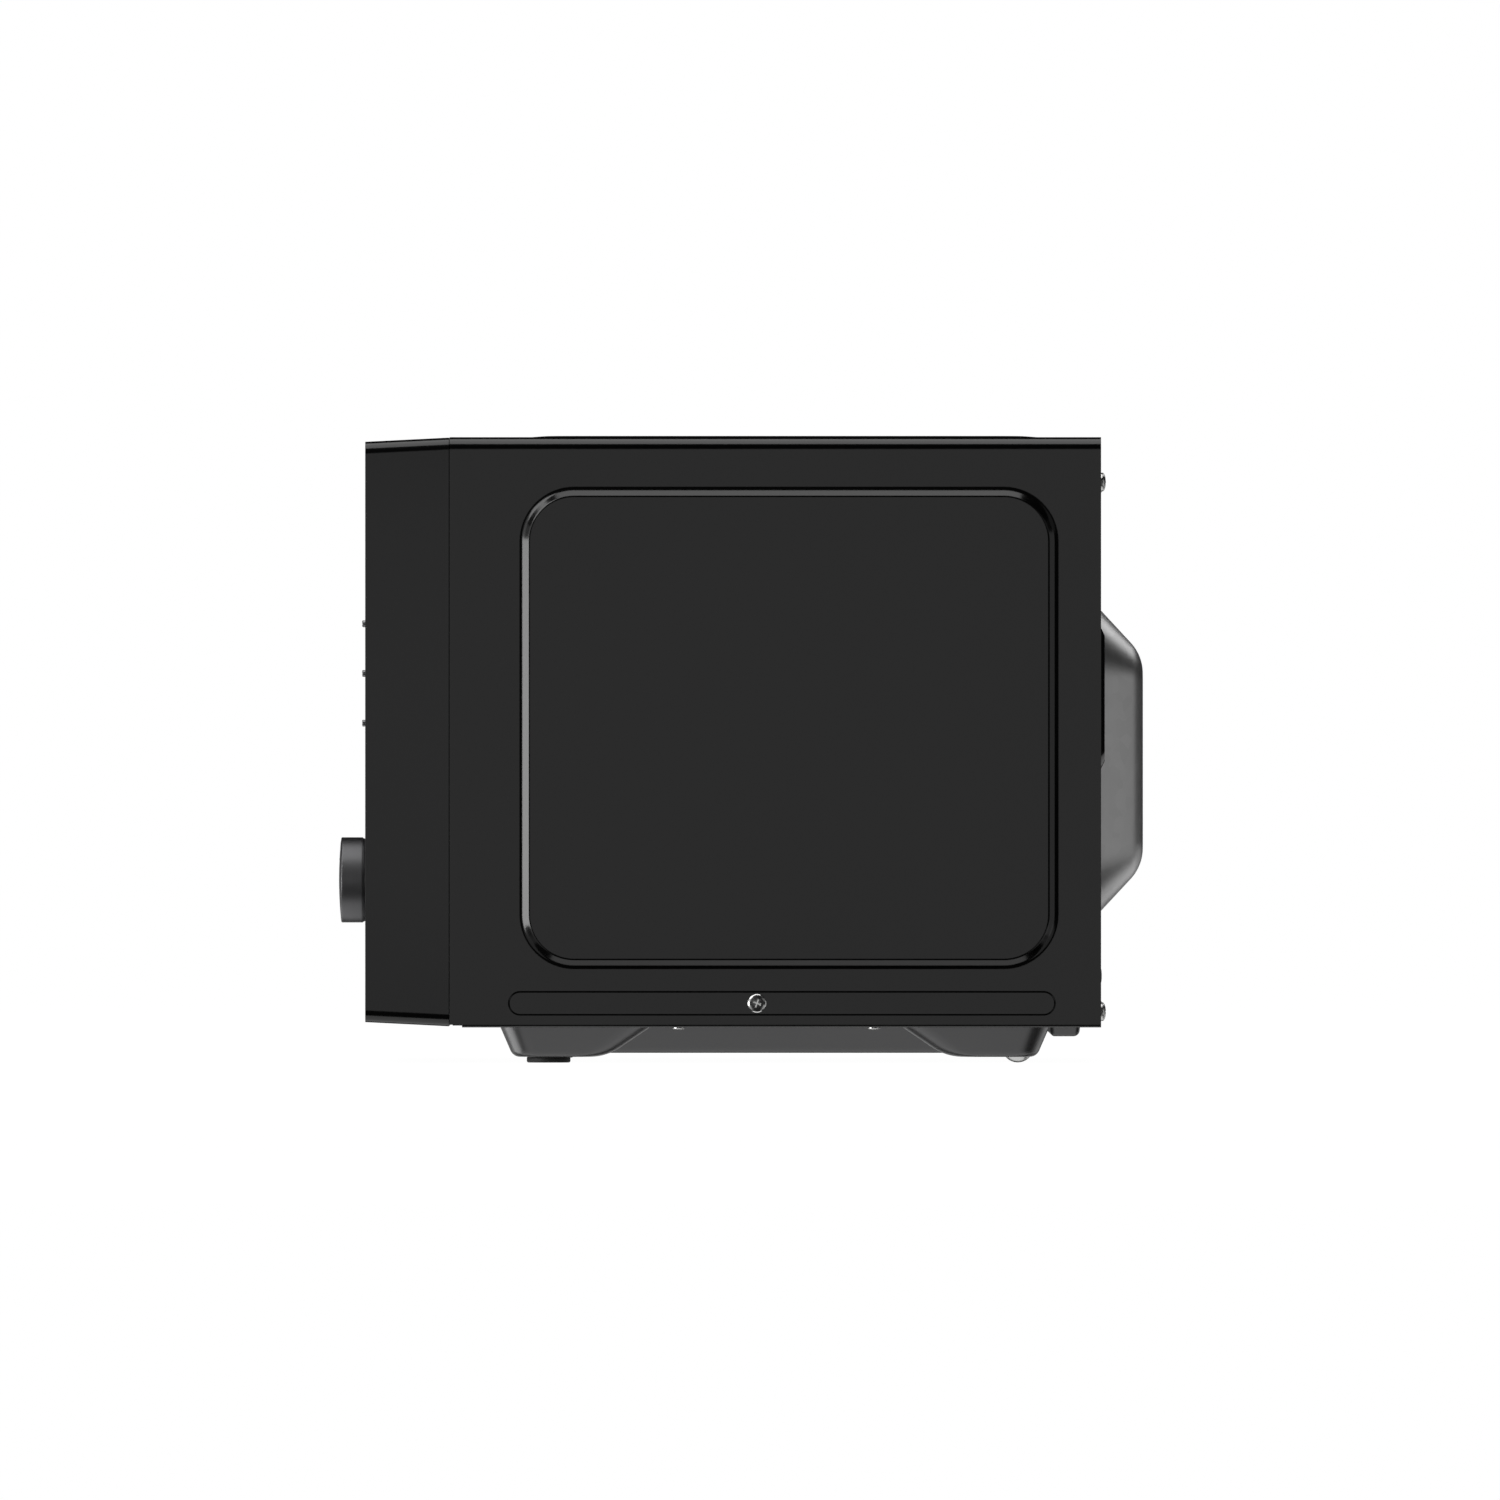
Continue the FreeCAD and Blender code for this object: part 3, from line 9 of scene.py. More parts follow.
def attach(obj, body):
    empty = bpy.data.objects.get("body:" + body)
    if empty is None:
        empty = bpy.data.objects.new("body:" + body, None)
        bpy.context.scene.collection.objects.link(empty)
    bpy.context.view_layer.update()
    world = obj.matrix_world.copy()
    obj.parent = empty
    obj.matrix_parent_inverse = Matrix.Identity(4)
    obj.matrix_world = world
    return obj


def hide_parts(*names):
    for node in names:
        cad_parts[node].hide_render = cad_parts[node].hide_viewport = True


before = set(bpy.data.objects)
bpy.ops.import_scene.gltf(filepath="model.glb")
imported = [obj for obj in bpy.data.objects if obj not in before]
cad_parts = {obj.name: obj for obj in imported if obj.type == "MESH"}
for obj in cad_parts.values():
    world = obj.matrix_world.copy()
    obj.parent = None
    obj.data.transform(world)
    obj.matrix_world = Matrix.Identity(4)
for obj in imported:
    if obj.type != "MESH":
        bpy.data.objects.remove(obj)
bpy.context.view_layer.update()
mm = 0.001


def forward(operation):
    return lambda *values: values[0].work(operation, *values)


def backward(operation):
    return lambda signal, value: signal.work(operation, value, signal)


class Signal:
    # A node's output; sums on it add Math nodes, and the backward forms let a number come first
    def __init__(self, graph, socket):
        self.graph = graph
        self.socket = socket

    def other(self, name):
        return Signal(self.graph, self.socket.node.outputs[name])

    def work(self, operation, *values):
        return self.graph.add("ShaderNodeMath", {"operation": operation}, dict(enumerate(values)))

    __add__, __radd__ = forward("ADD"), backward("ADD")
    __sub__, __rsub__ = forward("SUBTRACT"), backward("SUBTRACT")
    __mul__, __rmul__ = forward("MULTIPLY"), backward("MULTIPLY")
    __truediv__, __rtruediv__ = forward("DIVIDE"), backward("DIVIDE")
    __gt__, __lt__ = forward("GREATER_THAN"), forward("LESS_THAN")
    __pow__, __abs__ = forward("POWER"), forward("ABSOLUTE")
    atLeast, atMost = forward("MAXIMUM"), forward("MINIMUM")
    root, fraction = forward("SQRT"), forward("FRACT")
    cosine, sine = forward("COSINE"), forward("SINE")


class Graph:
    def __init__(self, tree):
        self.tree = tree

    def add(self, kind, settings=None, sockets=None, out=0):
        node = self.tree.nodes.new(kind)
        for key, value in (settings or {}).items():
            if key == "stops":
                ramp = node.color_ramp
                ramp.elements.remove(ramp.elements[1])
                ramp.elements[0].position = value[0][0]
                ramp.elements[0].color = value[0][1]
                for place, colour in value[1:]:
                    ramp.elements.new(place).color = colour
            else:
                setattr(node, key, value)
        for key, value in (sockets or {}).items():
            if isinstance(value, Signal):
                self.tree.links.new(value.socket, node.inputs[key])
            else:
                node.inputs[key].default_value = value
        return Signal(self, node.outputs[out]) if len(node.outputs) else None

    def split(self, vector):
        return self.add("ShaderNodeSeparateXYZ", {}, {"Vector": vector})

    def vector(self, x, y, z):
        return self.add("ShaderNodeCombineXYZ", {}, {"X": x, "Y": y, "Z": z})

    def mixColour(self, factor, first, second):
        return self.add("ShaderNodeMix", {"data_type": "RGBA"}, {0: factor, 6: first, 7: second}, 2)


def grey(level):
    return (level, level, level, 1.0)


def shade(colour, share):
    return [c * share for c in colour] + [1.0]


class Coating(Graph):
    # One material's nodes, on the piece's own coordinates
    def __init__(self, name):
        self.material = bpy.data.materials.new(name)
        self.material.use_nodes = True
        super().__init__(self.material.node_tree)
        self.tree.nodes.clear()
        self.here = self.add("ShaderNodeTexCoord", out="Object")

    def noise(self, scale, detail=3.0, place=None):
        return self.add("ShaderNodeTexNoise", {}, {
            "Vector": place or self.here, "Scale": scale, "Detail": detail})

    def bump(self, height, distance, strength=1.0):
        return self.add("ShaderNodeBump", {}, {"Height": height, "Distance": distance, "Strength": strength})

    def surface(self, sockets):
        shader = self.add("ShaderNodeBsdfPrincipled", {}, sockets)
        self.add("ShaderNodeOutputMaterial", {}, {"Surface": shader})
        return self.material


def plainFinish(name, colour, rough, metallic=0.0, tone=(30.0, 0.1), grain=(900.0, 0.00002),
                roughSpread=0.06, along=(1.0, 1.0, 1.0), extra=None):
    # One worn-in surface: slow tone change, fine grain and uneven gloss
    coat = Coating(name)
    place = coat.add("ShaderNodeMapping", {}, {"Vector": coat.here, "Scale": along})
    slow = coat.noise(tone[0], 4.0, place)
    fine = coat.noise(grain[0], 2.0, place)
    sockets = {
        "Base Color": coat.mixColour(slow, shade(colour, 1 - tone[1]), shade(colour, 1 + tone[1])),
        "Roughness": rough - roughSpread / 2 + slow * roughSpread,
        "Metallic": metallic,
        "Normal": coat.bump(fine, grain[1]),
    }
    sockets.update(extra or {})
    return coat.surface(sockets)


def galvanisedFinish():
    # Zinc spangle: flat crystals a few millimetres wide that differ a little in tone and gloss
    coat = Coating("galvanisedSheet")
    wobble = coat.noise(60.0, 2.0)
    place = coat.add("ShaderNodeVectorMath", {"operation": "ADD"},
                     {0: coat.here, 1: coat.vector(wobble * 0.004, 0.0, wobble * 0.003)})
    cells = coat.add("ShaderNodeTexVoronoi", {"feature": "F1"}, {"Vector": place, "Scale": 170.0}, "Color")
    tone = coat.add("ShaderNodeSeparateColor", {}, {"Color": cells})
    fine = coat.noise(1500.0, 2.0)
    return coat.surface({
        "Base Color": coat.mixColour(tone, grey(0.425), grey(0.455)),
        "Metallic": 1.0,
        "Roughness": 0.345 + tone.other("Green") * 0.02,
        "Normal": coat.bump(fine, 0.000006),
    })


def paintFinish():
    # Baked semi-gloss enamel with a very shallow orange peel
    coat = Coating("blackEnamelPaint")
    slow = coat.noise(14.0, 3.0)
    peel = coat.noise(520.0, 2.0)
    dust = coat.noise(2600.0, 1.0)
    return coat.surface({
        "Base Color": coat.mixColour(slow, grey(0.0014), grey(0.0022)),
        "Roughness": 0.125 + slow * 0.03 + dust * 0.015,
        "IOR": 1.5,
        "Normal": coat.bump(peel, 0.000004),
    })


def roundedMask(coat, centre, halves, corner):
    # Distance outside a rounded rectangle in X and Z, in metres, negative inside
    split = coat.split(coat.here)
    across = abs(split - centre[0]) - (halves[0] - corner)
    up = abs(split.other("Z") - centre[1]) - (halves[1] - corner)
    outside = (across.atLeast(0.0) ** 2.0 + up.atLeast(0.0) ** 2.0).root()
    return outside + across.atLeast(up).atMost(0.0) - corner


# Metres, as the shaders use them
doorWindow = {"centre": (-0.054, 0.16035), "halves": (0.140, 0.08115), "corner": 0.012,
              "dotBand": 0.009, "dotPitch": 0.0022}


def doorGlassFinish():
    # Black printed border that breaks into dots round the clear window
    coat = Coating("printedDoorGlass")
    away = roundedMask(coat, doorWindow["centre"], doorWindow["halves"], doorWindow["corner"])
    split = coat.split(coat.here)
    pitch = doorWindow["dotPitch"]
    column = (split / pitch).fraction() - 0.5
    row = (split.other("Z") / pitch).fraction() - 0.5
    dot = (column * column + row * row).root()
    inBand = (away + doorWindow["dotBand"]) / doorWindow["dotBand"]
    printed = (dot < inBand * 0.62).atLeast(away > 0.0)
    return coat.surface({
        "Base Color": coat.mixColour(printed, grey(0.012), grey(0.004)),
        "Alpha": 0.24 + printed * 0.76,
        "Roughness": 0.04,
        "IOR": 1.52,
    })


def boardFinish():
    coat = Coating("circuitBoard")
    split = coat.split(coat.here)
    lanes = (split.other("Z") * 300.0).fraction()
    gaps = ((split + split.other("Y")) * 190.0).fraction()
    trace = (lanes < 0.4) * (gaps > 0.25)
    return coat.surface({
        "Base Color": coat.mixColour(trace, (0.010, 0.075, 0.030, 1.0), (0.022, 0.13, 0.05, 1.0)),
        "Roughness": 0.38 + trace * 0.08,
        "Normal": coat.bump(trace, 0.00003),
    })


def speckledEnamel():
    coat = Coating("speckledEnamel")
    specks = coat.add("ShaderNodeTexVoronoi", {"feature": "F1"},
                      {"Vector": coat.here, "Scale": 420.0}, "Distance")
    picked = coat.add("ShaderNodeValToRGB", {"stops": [(0.10, grey(1.0)), (0.17, grey(0.0))]}, {"Fac": specks})
    slow = coat.noise(25.0)
    return coat.surface({
        "Base Color": coat.mixColour(picked, coat.mixColour(slow, grey(0.030), grey(0.042)), grey(0.22)),
        "Roughness": 0.22 + slow * 0.08,
        "Coat Weight": 0.5,
        "Normal": coat.bump(coat.noise(240.0), 0.00002),
    })


def brushedFinish(name, colour, rough, centre):
    # Fine turned rings about an axis along Y
    coat = Coating(name)
    moved = coat.add("ShaderNodeVectorMath", {"operation": "SUBTRACT"}, {0: coat.here, 1: centre})
    split = coat.split(moved)
    radius = (split * split + split.other("Z") * split.other("Z")).root()
    rings = coat.noise(1.0, 3.0, coat.vector(radius * 4200.0, split.other("Y") * 3000.0, 0.0))
    return coat.surface({
        "Base Color": coat.mixColour(rings, shade(colour, 0.9), shade(colour, 1.1)),
        "Metallic": 1.0,
        "Roughness": rough + rings * 0.06,
        "Normal": coat.bump(rings, 0.000008),
    })


def clearFinish(name, colour, alpha, rough):
    coat = Coating(name)
    smear = coat.noise(45.0, 4.0)
    return coat.surface({
        "Base Color": colour,
        "Alpha": alpha,
        "Roughness": rough + smear * 0.03,
        "IOR": 1.5,
    })


knobPlace = Vector((0.179, -0.1877, 0.0878))
finishes = {
    "black_paint": paintFinish(),
    "black_plastic": plainFinish("blackPlastic", (0.0022, 0.0022, 0.0023), 0.16, tone=(18.0, 0.12),
                                 grain=(2400.0, 0.000003), roughSpread=0.03),
    "bare_steel": plainFinish("coatedBaseSteel", (0.085, 0.085, 0.086), 0.30, 0.75, (26.0, 0.08),
                              (900.0, 0.000004), 0.06, (1.0, 0.12, 1.0)),
    "galvanised": galvanisedFinish(),
    "cavity_steel": speckledEnamel(),
    "wool": plainFinish("mineralWool", (0.55, 0.53, 0.46), 0.95, 0.0, (90.0, 0.25), (700.0, 0.0008), 0.04),
    "quartz": clearFinish("frostedQuartz", (0.75, 0.74, 0.72, 1.0), 0.34, 0.18),
    "ceramic": plainFinish("whiteCeramic", (0.68, 0.66, 0.60), 0.45, 0.0, (60.0, 0.06), (1600.0, 0.00003)),
    "clear_glass": clearFinish("innerDoorGlass", (0.02, 0.02, 0.02, 1.0), 0.08, 0.03),
    "lamp_glass": clearFinish("lampGlass", (0.85, 0.83, 0.78, 1.0), 0.45, 0.12),
    "tinted_glass": clearFinish("displayGlass", (0.004, 0.004, 0.005, 1.0), 0.97, 0.05),
    "bright_steel": plainFinish("brightSteel", (0.56, 0.56, 0.55), 0.26, 1.0, (40.0, 0.06), (1500.0, 0.000006),
                                0.08, (0.2, 1.0, 1.0)),
    "alloy": plainFinish("castAlloy", (0.52, 0.53, 0.54), 0.38, 1.0, (55.0, 0.08), (1200.0, 0.00002)),
    "core_steel": plainFinish("laminatedCore", (0.20, 0.20, 0.21), 0.5, 1.0, (40.0, 0.1), (260.0, 0.00015),
                              0.08, (0.05, 5.0, 0.05)),
    "coil_tape": plainFinish("coilTape", (0.52, 0.40, 0.10), 0.5, 0.0, (70.0, 0.12), (420.0, 0.0001)),
    "gloss_black": plainFinish("glossBlackPanel", (0.0045, 0.0045, 0.0048), 0.09, tone=(10.0, 0.1),
                               grain=(400.0, 0.000002), roughSpread=0.02),
    "board_green": boardFinish(),
    "key_metal": plainFinish("brushedKeys", (0.24, 0.24, 0.245), 0.3, 1.0, (60.0, 0.05), (2600.0, 0.00001),
                             0.05, (0.04, 1.0, 1.0)),
    "knob_metal": brushedFinish("turnedKnobMetal", (0.15, 0.15, 0.154), 0.40, knobPlace),
    "foot_rubber": plainFinish("footRubber", (0.012, 0.012, 0.012), 0.62, 0.0, (80.0, 0.2), (1500.0, 0.00005)),
    "white_nylon": plainFinish("greyNylon", (0.25, 0.25, 0.25), 0.4, 0.0, (80.0, 0.06), (900.0, 0.00002)),
    "screw_chrome": plainFinish("platedScrew", (0.72, 0.72, 0.71), 0.2, 1.0, (300.0, 0.06), (2500.0, 0.00001)),
    "screw_zinc": plainFinish("zincScrew", (0.58, 0.58, 0.57), 0.28, 1.0, (300.0, 0.1), (2500.0, 0.00001)),
    "rack_chrome": plainFinish("rackChrome", (0.62, 0.62, 0.61), 0.16, 1.0, (50.0, 0.06), (900.0, 0.000006)),
    "white_print": plainFinish("whitePrint", (0.55, 0.55, 0.55), 0.5, 0.0, (200.0, 0.05), (1500.0, 0.000004)),
    "lit_print": plainFinish("litDigits", (0.5, 0.52, 0.55), 0.4, 0.0, (200.0, 0.03), (1500.0, 0.000002),
                             extra={"Emission Color": (0.62, 0.80, 1.0, 1.0), "Emission Strength": 0.8}),
    "enamel": plainFinish("panEnamel", (0.020, 0.020, 0.022), 0.3, 0.0, (40.0, 0.2), (500.0, 0.00002),
                          extra={"Coat Weight": 0.4}),
}
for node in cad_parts.values():
    for holder in node.material_slots:
        holder.material = finishes[holder.material.name.split(".")[0]]
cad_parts["door_outer_glass"].material_slots[0].material = doorGlassFinish()
print("finishes ready:", len(finishes))


def shaded(mesh, angle=32.0):
    mesh.polygons.foreach_set("use_smooth", [True] * len(mesh.polygons))
    mesh.set_sharp_from_angle(angle=math.radians(angle))
    return mesh


def placed(name, data):
    piece = bpy.data.objects.new(name, data)
    bpy.context.scene.collection.objects.link(piece)
    return piece


def settled(piece):
    # Turns the live modifiers into plain mesh
    graph = bpy.context.evaluated_depsgraph_get()
    mesh = bpy.data.meshes.new_from_object(piece.evaluated_get(graph))
    piece.modifiers.clear()
    piece.data = mesh
    return piece


def mounted(piece, body, slotName, *nodes):
    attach(piece, body)
    if nodes:
        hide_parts(*nodes)
    return piece


def arc(u, v, radius, start, end, steps):
    turns = [math.radians(start + (end - start) * i / steps) for i in range(steps + 1)]
    return [(u + radius * math.cos(t), v + radius * math.sin(t)) for t in turns]


def circle(radius, count):
    turns = [2 * math.pi * i / count for i in range(count)]
    return [(radius * math.cos(t), radius * math.sin(t)) for t in turns]


def corners(u0, u1, v0, v1):
    return [(u0, v0), (u1, v0), (u1, v1), (u0, v1)]


class Skin:
    # Points in millimetres, welded and turned outwards when it is built
    def __init__(self):
        self.points = []
        self.faces = []

    def put(self, points):
        start = len(self.points)
        self.points.extend(points)
        return list(range(start, len(self.points)))

    def strip(self, first, second, closed=True):
        a = self.put(first)
        b = self.put(second)
        count = len(a) if closed else len(a) - 1
        for i in range(count):
            j = (i + 1) % len(a)
            self.faces.append((a[i], a[j], b[j], b[i]))

    def strips(self, rows, closed=True):
        for first, second in zip(rows, rows[1:]):
            self.strip(first, second, closed)

    def flat(self, loops, place):
        # Fills what lies between closed loops of (u, v), and leaves their holes open
        points = []
        outlines = []
        for loop in loops:
            outlines.append(list(range(len(points), len(points) + len(loop))))
            points += [Vector(p) for p in loop]
        out = delaunay_2d_cdt(points, [], outlines, 2, 1e-5)
        ids = self.put([place(p[0], p[1]) for p in out[0]])
        self.faces += [tuple(ids[i] for i in face) for face in out[2]]

    def slab(self, loops, levels, place):
        # The same outlines on two levels, closed all round
        for loop in loops:
            self.strips([[place(u, v, level) for u, v in loop] for level in levels])
        for level in levels:
            self.flat(loops, lambda u, v: place(u, v, level))

    def build(self, name, slotName, middle=None, wall=None, angle=32.0):
        mesh = bpy.data.meshes.new(name)
        mesh.from_pydata([Vector(p) * mm for p in self.points], [], self.faces)
        shape = bmesh.new()
        shape.from_mesh(mesh)
        bmesh.ops.remove_doubles(shape, verts=shape.verts, dist=0.002 * mm)
        bmesh.ops.dissolve_degenerate(shape, edges=shape.edges, dist=0.001 * mm)
        bmesh.ops.recalc_face_normals(shape, faces=shape.faces)
        if middle is not None:
            centre = Vector(middle) * mm
            lean = sum(f.calc_area() * f.normal.dot(f.calc_center_median() - centre) for f in shape.faces)
            if lean < 0:
                bmesh.ops.reverse_faces(shape, faces=shape.faces)
        shape.to_mesh(mesh)
        shape.free()
        shaded(mesh, angle)
        mesh.materials.append(finishes[slotName])
        piece = placed(name, mesh)
        if wall:
            thick = piece.modifiers.new("wall", "SOLIDIFY")
            thick.thickness = wall * mm
            thick.offset = -1.0
            thick.use_even_offset = True
            settled(piece)
            shaded(piece.data, angle)
        return piece


def grown(rect, inset):
    return (rect[0] + inset, rect[1] - inset, rect[2] + inset, rect[3] - inset)


def roundedLoop(rect, corner, inset=0.0, steps=16):
    u0, u1, v0, v1 = rect[0] + inset, rect[1] - inset, rect[2] + inset, rect[3] - inset
    r = max(corner - inset, 0.2)
    middles = ((u1 - r, v1 - r, 0), (u0 + r, v1 - r, 90), (u0 + r, v0 + r, 180), (u1 - r, v0 + r, 270))
    return [point for u, v, start in middles for point in arc(u, v, r, start, start + 90, steps)]


def pressProfile(width, height, foot, hold, guard, steps=24):
    # An S-shaped step: it leans over the share "foot", holds its slope up to "hold", then levels off
    def lean(s):
        if s < foot:
            return s / foot
        if s < hold:
            return 1.0
        return (1 - s) / (1 - hold)

    def climb(most):
        level = 0.0
        levels = [0.0]
        for i in range(steps):
            level += math.tan(most * lean((i + 0.5) / steps)) * width / steps
            levels.append(level)
        return levels

    low, high = 0.0, 1.45
    for _ in range(40):
        middle = (low + high) / 2
        if climb(middle)[-1] < abs(height):
            low = middle
        else:
            high = middle
    side = 1 if height > 0 else -1
    rows = [(width * i / steps, side * level) for i, level in enumerate(climb(low))]
    return [(-guard, 0.0)] + rows + [(width + guard, height)]


def pressedField(skin, field, place):
    # Adds one pressed field to a sheet and returns the loop that the sheet round it meets
    rect, corner = field["rect"], field["corner"]
    profile = pressProfile(field["width"], field["height"], field["foot"], field["hold"], field["guard"])
    skin.strips([[place(u, v, height) for u, v in roundedLoop(rect, corner, inset)]
                 for inset, height in profile])
    inset, height = profile[-1]
    skin.flat([roundedLoop(rect, corner, inset)], lambda u, v: place(u, v, height))
    return roundedLoop(rect, corner, profile[0][0])


def softened(node, name, slotName, body, width, segments, angle=35.0):
    # A bevelled copy of a CAD node
    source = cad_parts[node]
    mesh = source.data.copy()
    mesh.name = name
    shape = bmesh.new()
    shape.from_mesh(mesh)
    bmesh.ops.remove_doubles(shape, verts=shape.verts, dist=0.003 * mm)
    bmesh.ops.dissolve_limit(shape, angle_limit=math.radians(0.3), verts=shape.verts, edges=shape.edges)
    shape.to_mesh(mesh)
    shape.free()
    if mesh.attributes.get("custom_normal"):
        mesh.attributes.remove(mesh.attributes["custom_normal"])
    piece = placed(name, mesh)
    shaded(mesh, angle)
    if width:
        bevel = piece.modifiers.new("edges", "BEVEL")
        bevel.width = width * mm
        bevel.segments = segments
        bevel.limit_method = "ANGLE"
        bevel.angle_limit = math.radians(angle)
        bevel.harden_normals = True
        settled(piece)
    piece.data.materials.clear()
    piece.data.materials.append(finishes[slotName])
    return mounted(piece, body, slotName, node)


def turned(name, slotName, profile, centres, axis, count=64):
    # Lathe shapes: (radius, height) pairs from the low middle to the high middle
    skin = Skin()
    lean = Vector((0, 0, 1)).rotation_difference(Vector(axis))
    for centre in centres:
        skin.strips([[Vector(centre) + lean @ Vector((u, v, height)) for u, v in circle(radius, count)]
                     for radius, height in profile])
    return skin.build(name, slotName)


# Outer cabinet: one folded sheet with pressed fields. Every piece's sizes are in millimetres
cabinet = {"half": 238.0, "front": -140.55, "back": 172.25, "low": 17.1, "high": 300.5,
           "topBend": 6.0, "lowBend": 1.3, "returnWidth": 10.0, "notch": 6.0, "wall": 0.8, "guard": 0.7}
plateau = {"rect": (-107.25, 152.1, 44.8, 277.0), "corner": 26.5, "height": 2.4, "width": 5.4,
           "foot": 0.5, "hold": 0.8, "guard": 0.7}
strip = {"rect": (-112.55, 150.55, 22.7, 34.7), "corner": 5.9, "height": -0.22, "width": 1.0,
         "foot": 0.3, "hold": 0.7, "guard": 0.6}
crown = {"rect": (-224.0, 224.0, -106.0, 146.5), "corner": 24.0, "height": 0.74, "width": 15.0,
         "foot": 0.3, "hold": 0.6, "guard": 0.7}


def makeCabinet():
    c = cabinet
    skin = Skin()
    g = c["guard"]
    yNotch = c["front"] + c["notch"]

    def folded(line, ends):
        skin.strips([[(x, y, z) for x, z in line] for y in ends], closed=False)

    for side in (-1, 1):
        x = side * c["half"]
        low = c["low"] + c["lowBend"] + g
        high = c["high"] - c["topBend"] - g

        def place(u, v, height=0.0):
            return (x + side * height, u, v)

        holes = [pressedField(skin, field, place) for field in (plateau, strip)]
        border = [(c["front"], low), (yNotch, low), (c["back"], low), (c["back"], high), (c["front"], high)]
        skin.flat([border] + holes, place)
        top = [(x, high)] + arc(side * (c["half"] - c["topBend"]), c["high"] - c["topBend"], c["topBend"],
                                0 if side > 0 else 180, 90, 12)
        top.append((side * (c["half"] - c["topBend"] - g), c["high"]))
        folded(top, (c["front"], c["back"]))
        foot = [(x, low)] + arc(side * (c["half"] - c["lowBend"]), c["low"] + c["lowBend"], c["lowBend"],
                                0 if side > 0 else 180, -90 if side > 0 else 270, 8)
        foot.append((side * (c["half"] - c["returnWidth"]), c["low"]))
        folded(foot, (yNotch, c["back"]))
        folded(foot[:2], (c["front"], yNotch))
    inner = c["half"] - c["topBend"] - g
    hole = pressedField(skin, crown, lambda u, v, height: (u, v, c["high"] + height))
    skin.flat([corners(-inner, inner, c["front"], c["back"]), hole], lambda u, v: (u, v, c["high"]))
    piece = skin.build("wrapCabinet", "black_paint", (0, 0, 150), c["wall"])
    mounted(piece, "oven", "black_paint", "outer_cabinet")


makeCabinet()
print("cabinet pressed")


hump = {"rect": (-156.0, 48.0, 70.65, 219.55), "corner": 36.0, "depth": 21.8, "slope": 23.5, "blend": 22.0,
        "back": 172.25, "wall": 0.8, "flange": 8.0, "steps": 14,
        "lip": ((-0.9, -0.85), (-0.3, -0.6), (0.0, -0.2), (0.3, 0.28))}


def humpProfile():
    h = hump
    lean = math.atan2(h["depth"], h["slope"])
    reach = h["blend"] * math.tan(lean / 2)
    rows = [(-h["flange"], h["lip"][0][1]), *h["lip"]]
    rows.append((h["slope"] - reach * math.cos(lean), h["depth"] - reach * math.sin(lean)))
    middle = (h["slope"] + reach, h["depth"] - h["blend"])
    for i in range(1, h["steps"] + 1):
        a = lean * (1 - i / h["steps"])
        rows.append((middle[0] - h["blend"] * math.sin(a), middle[1] + h["blend"] * math.cos(a)))
    rows.append((middle[0] + 1.0, h["depth"]))
    return rows


def makeHump():
    h = hump
    skin = Skin()
    rows = humpProfile()

    def loop(inset):
        return roundedLoop(grown(h["rect"], inset), max(h["corner"] - max(inset, 0.0), 6.0), 0.0, 20)

    skin.strips([[(u, h["back"] + depth, v) for u, v in loop(inset)] for inset, depth in rows])
    skin.flat([loop(rows[-1][0])], lambda u, v: (u, h["back"] + h["depth"], v))
    piece = skin.build("fanMotorCover", "galvanised", (-54, 100, 145), h["wall"], 38.0)
    mounted(piece, "oven", "galvanised", "motor_cover")


makeHump()
print("motor cover pressed")


base = {"under": 18.0, "wall": 1.0, "x": 236.45, "front": -139.05, "back": 171.3, "flange": 23.0}
foreSlopes = ((10, 5), (10, 5), (6.5, 5), (22.4, 26))
rearSlopes = ((10, 5), (10, 5), (22.4, 26), (6.5, 5))
presses = {  # rect, depth, corner, then slope width and bottom radius at -X, +X, -Y and +Y
    "frontLeftBoss": ((-224.0, -150.0, -116.65, -42.9), 15.2, 14.0, foreSlopes),
    "frontRightBoss": ((150.0, 224.0, -116.65, -42.9), 15.2, 14.0, foreSlopes),
    "rearLeftBoss": ((-224.0, -150.0, 75.6, 147.95), 15.2, 14.0, rearSlopes),
    "rearRightBoss": ((150.0, 224.0, 75.6, 147.95), 15.2, 14.0, rearSlopes),
    "middleDish": ((-134.0, 134.0, -109.05, 126.25), 13.8, 14.0, ((10, 5), (10, 5), (10, 5), (10, 5))),
    "rearRib": ((-198.0, 198.0, 147.98, 162.55), 5.4, 3.0, ((4, 3), (4, 3), (0.4, 2), (0.6, 3))),
}
pressShares = (0, 0.03, 0.2, 0.4, 0.55, 0.66, 0.75, 0.82, 0.88, 0.925, 0.955, 0.975, 0.99, 0.997, 1.0)
drain = {"rows": 3, "columns": 10, "pitch": 20.0, "width": 4.0, "length": 38.4, "gap": 40.0, "start": -89.05}


def slopeInset(down, depth, width, radius):
    # How far a sloped side has come in at a distance down, with a rounded foot
    lean = math.atan2(depth, width)
    reach = radius * math.tan(lean / 2)
    bendStart = depth - reach * math.sin(lean)
    if down <= bendStart:
        return width * down / depth
    return width + reach - math.sqrt(max(radius ** 2 - (down - depth + radius) ** 2, 0.0))


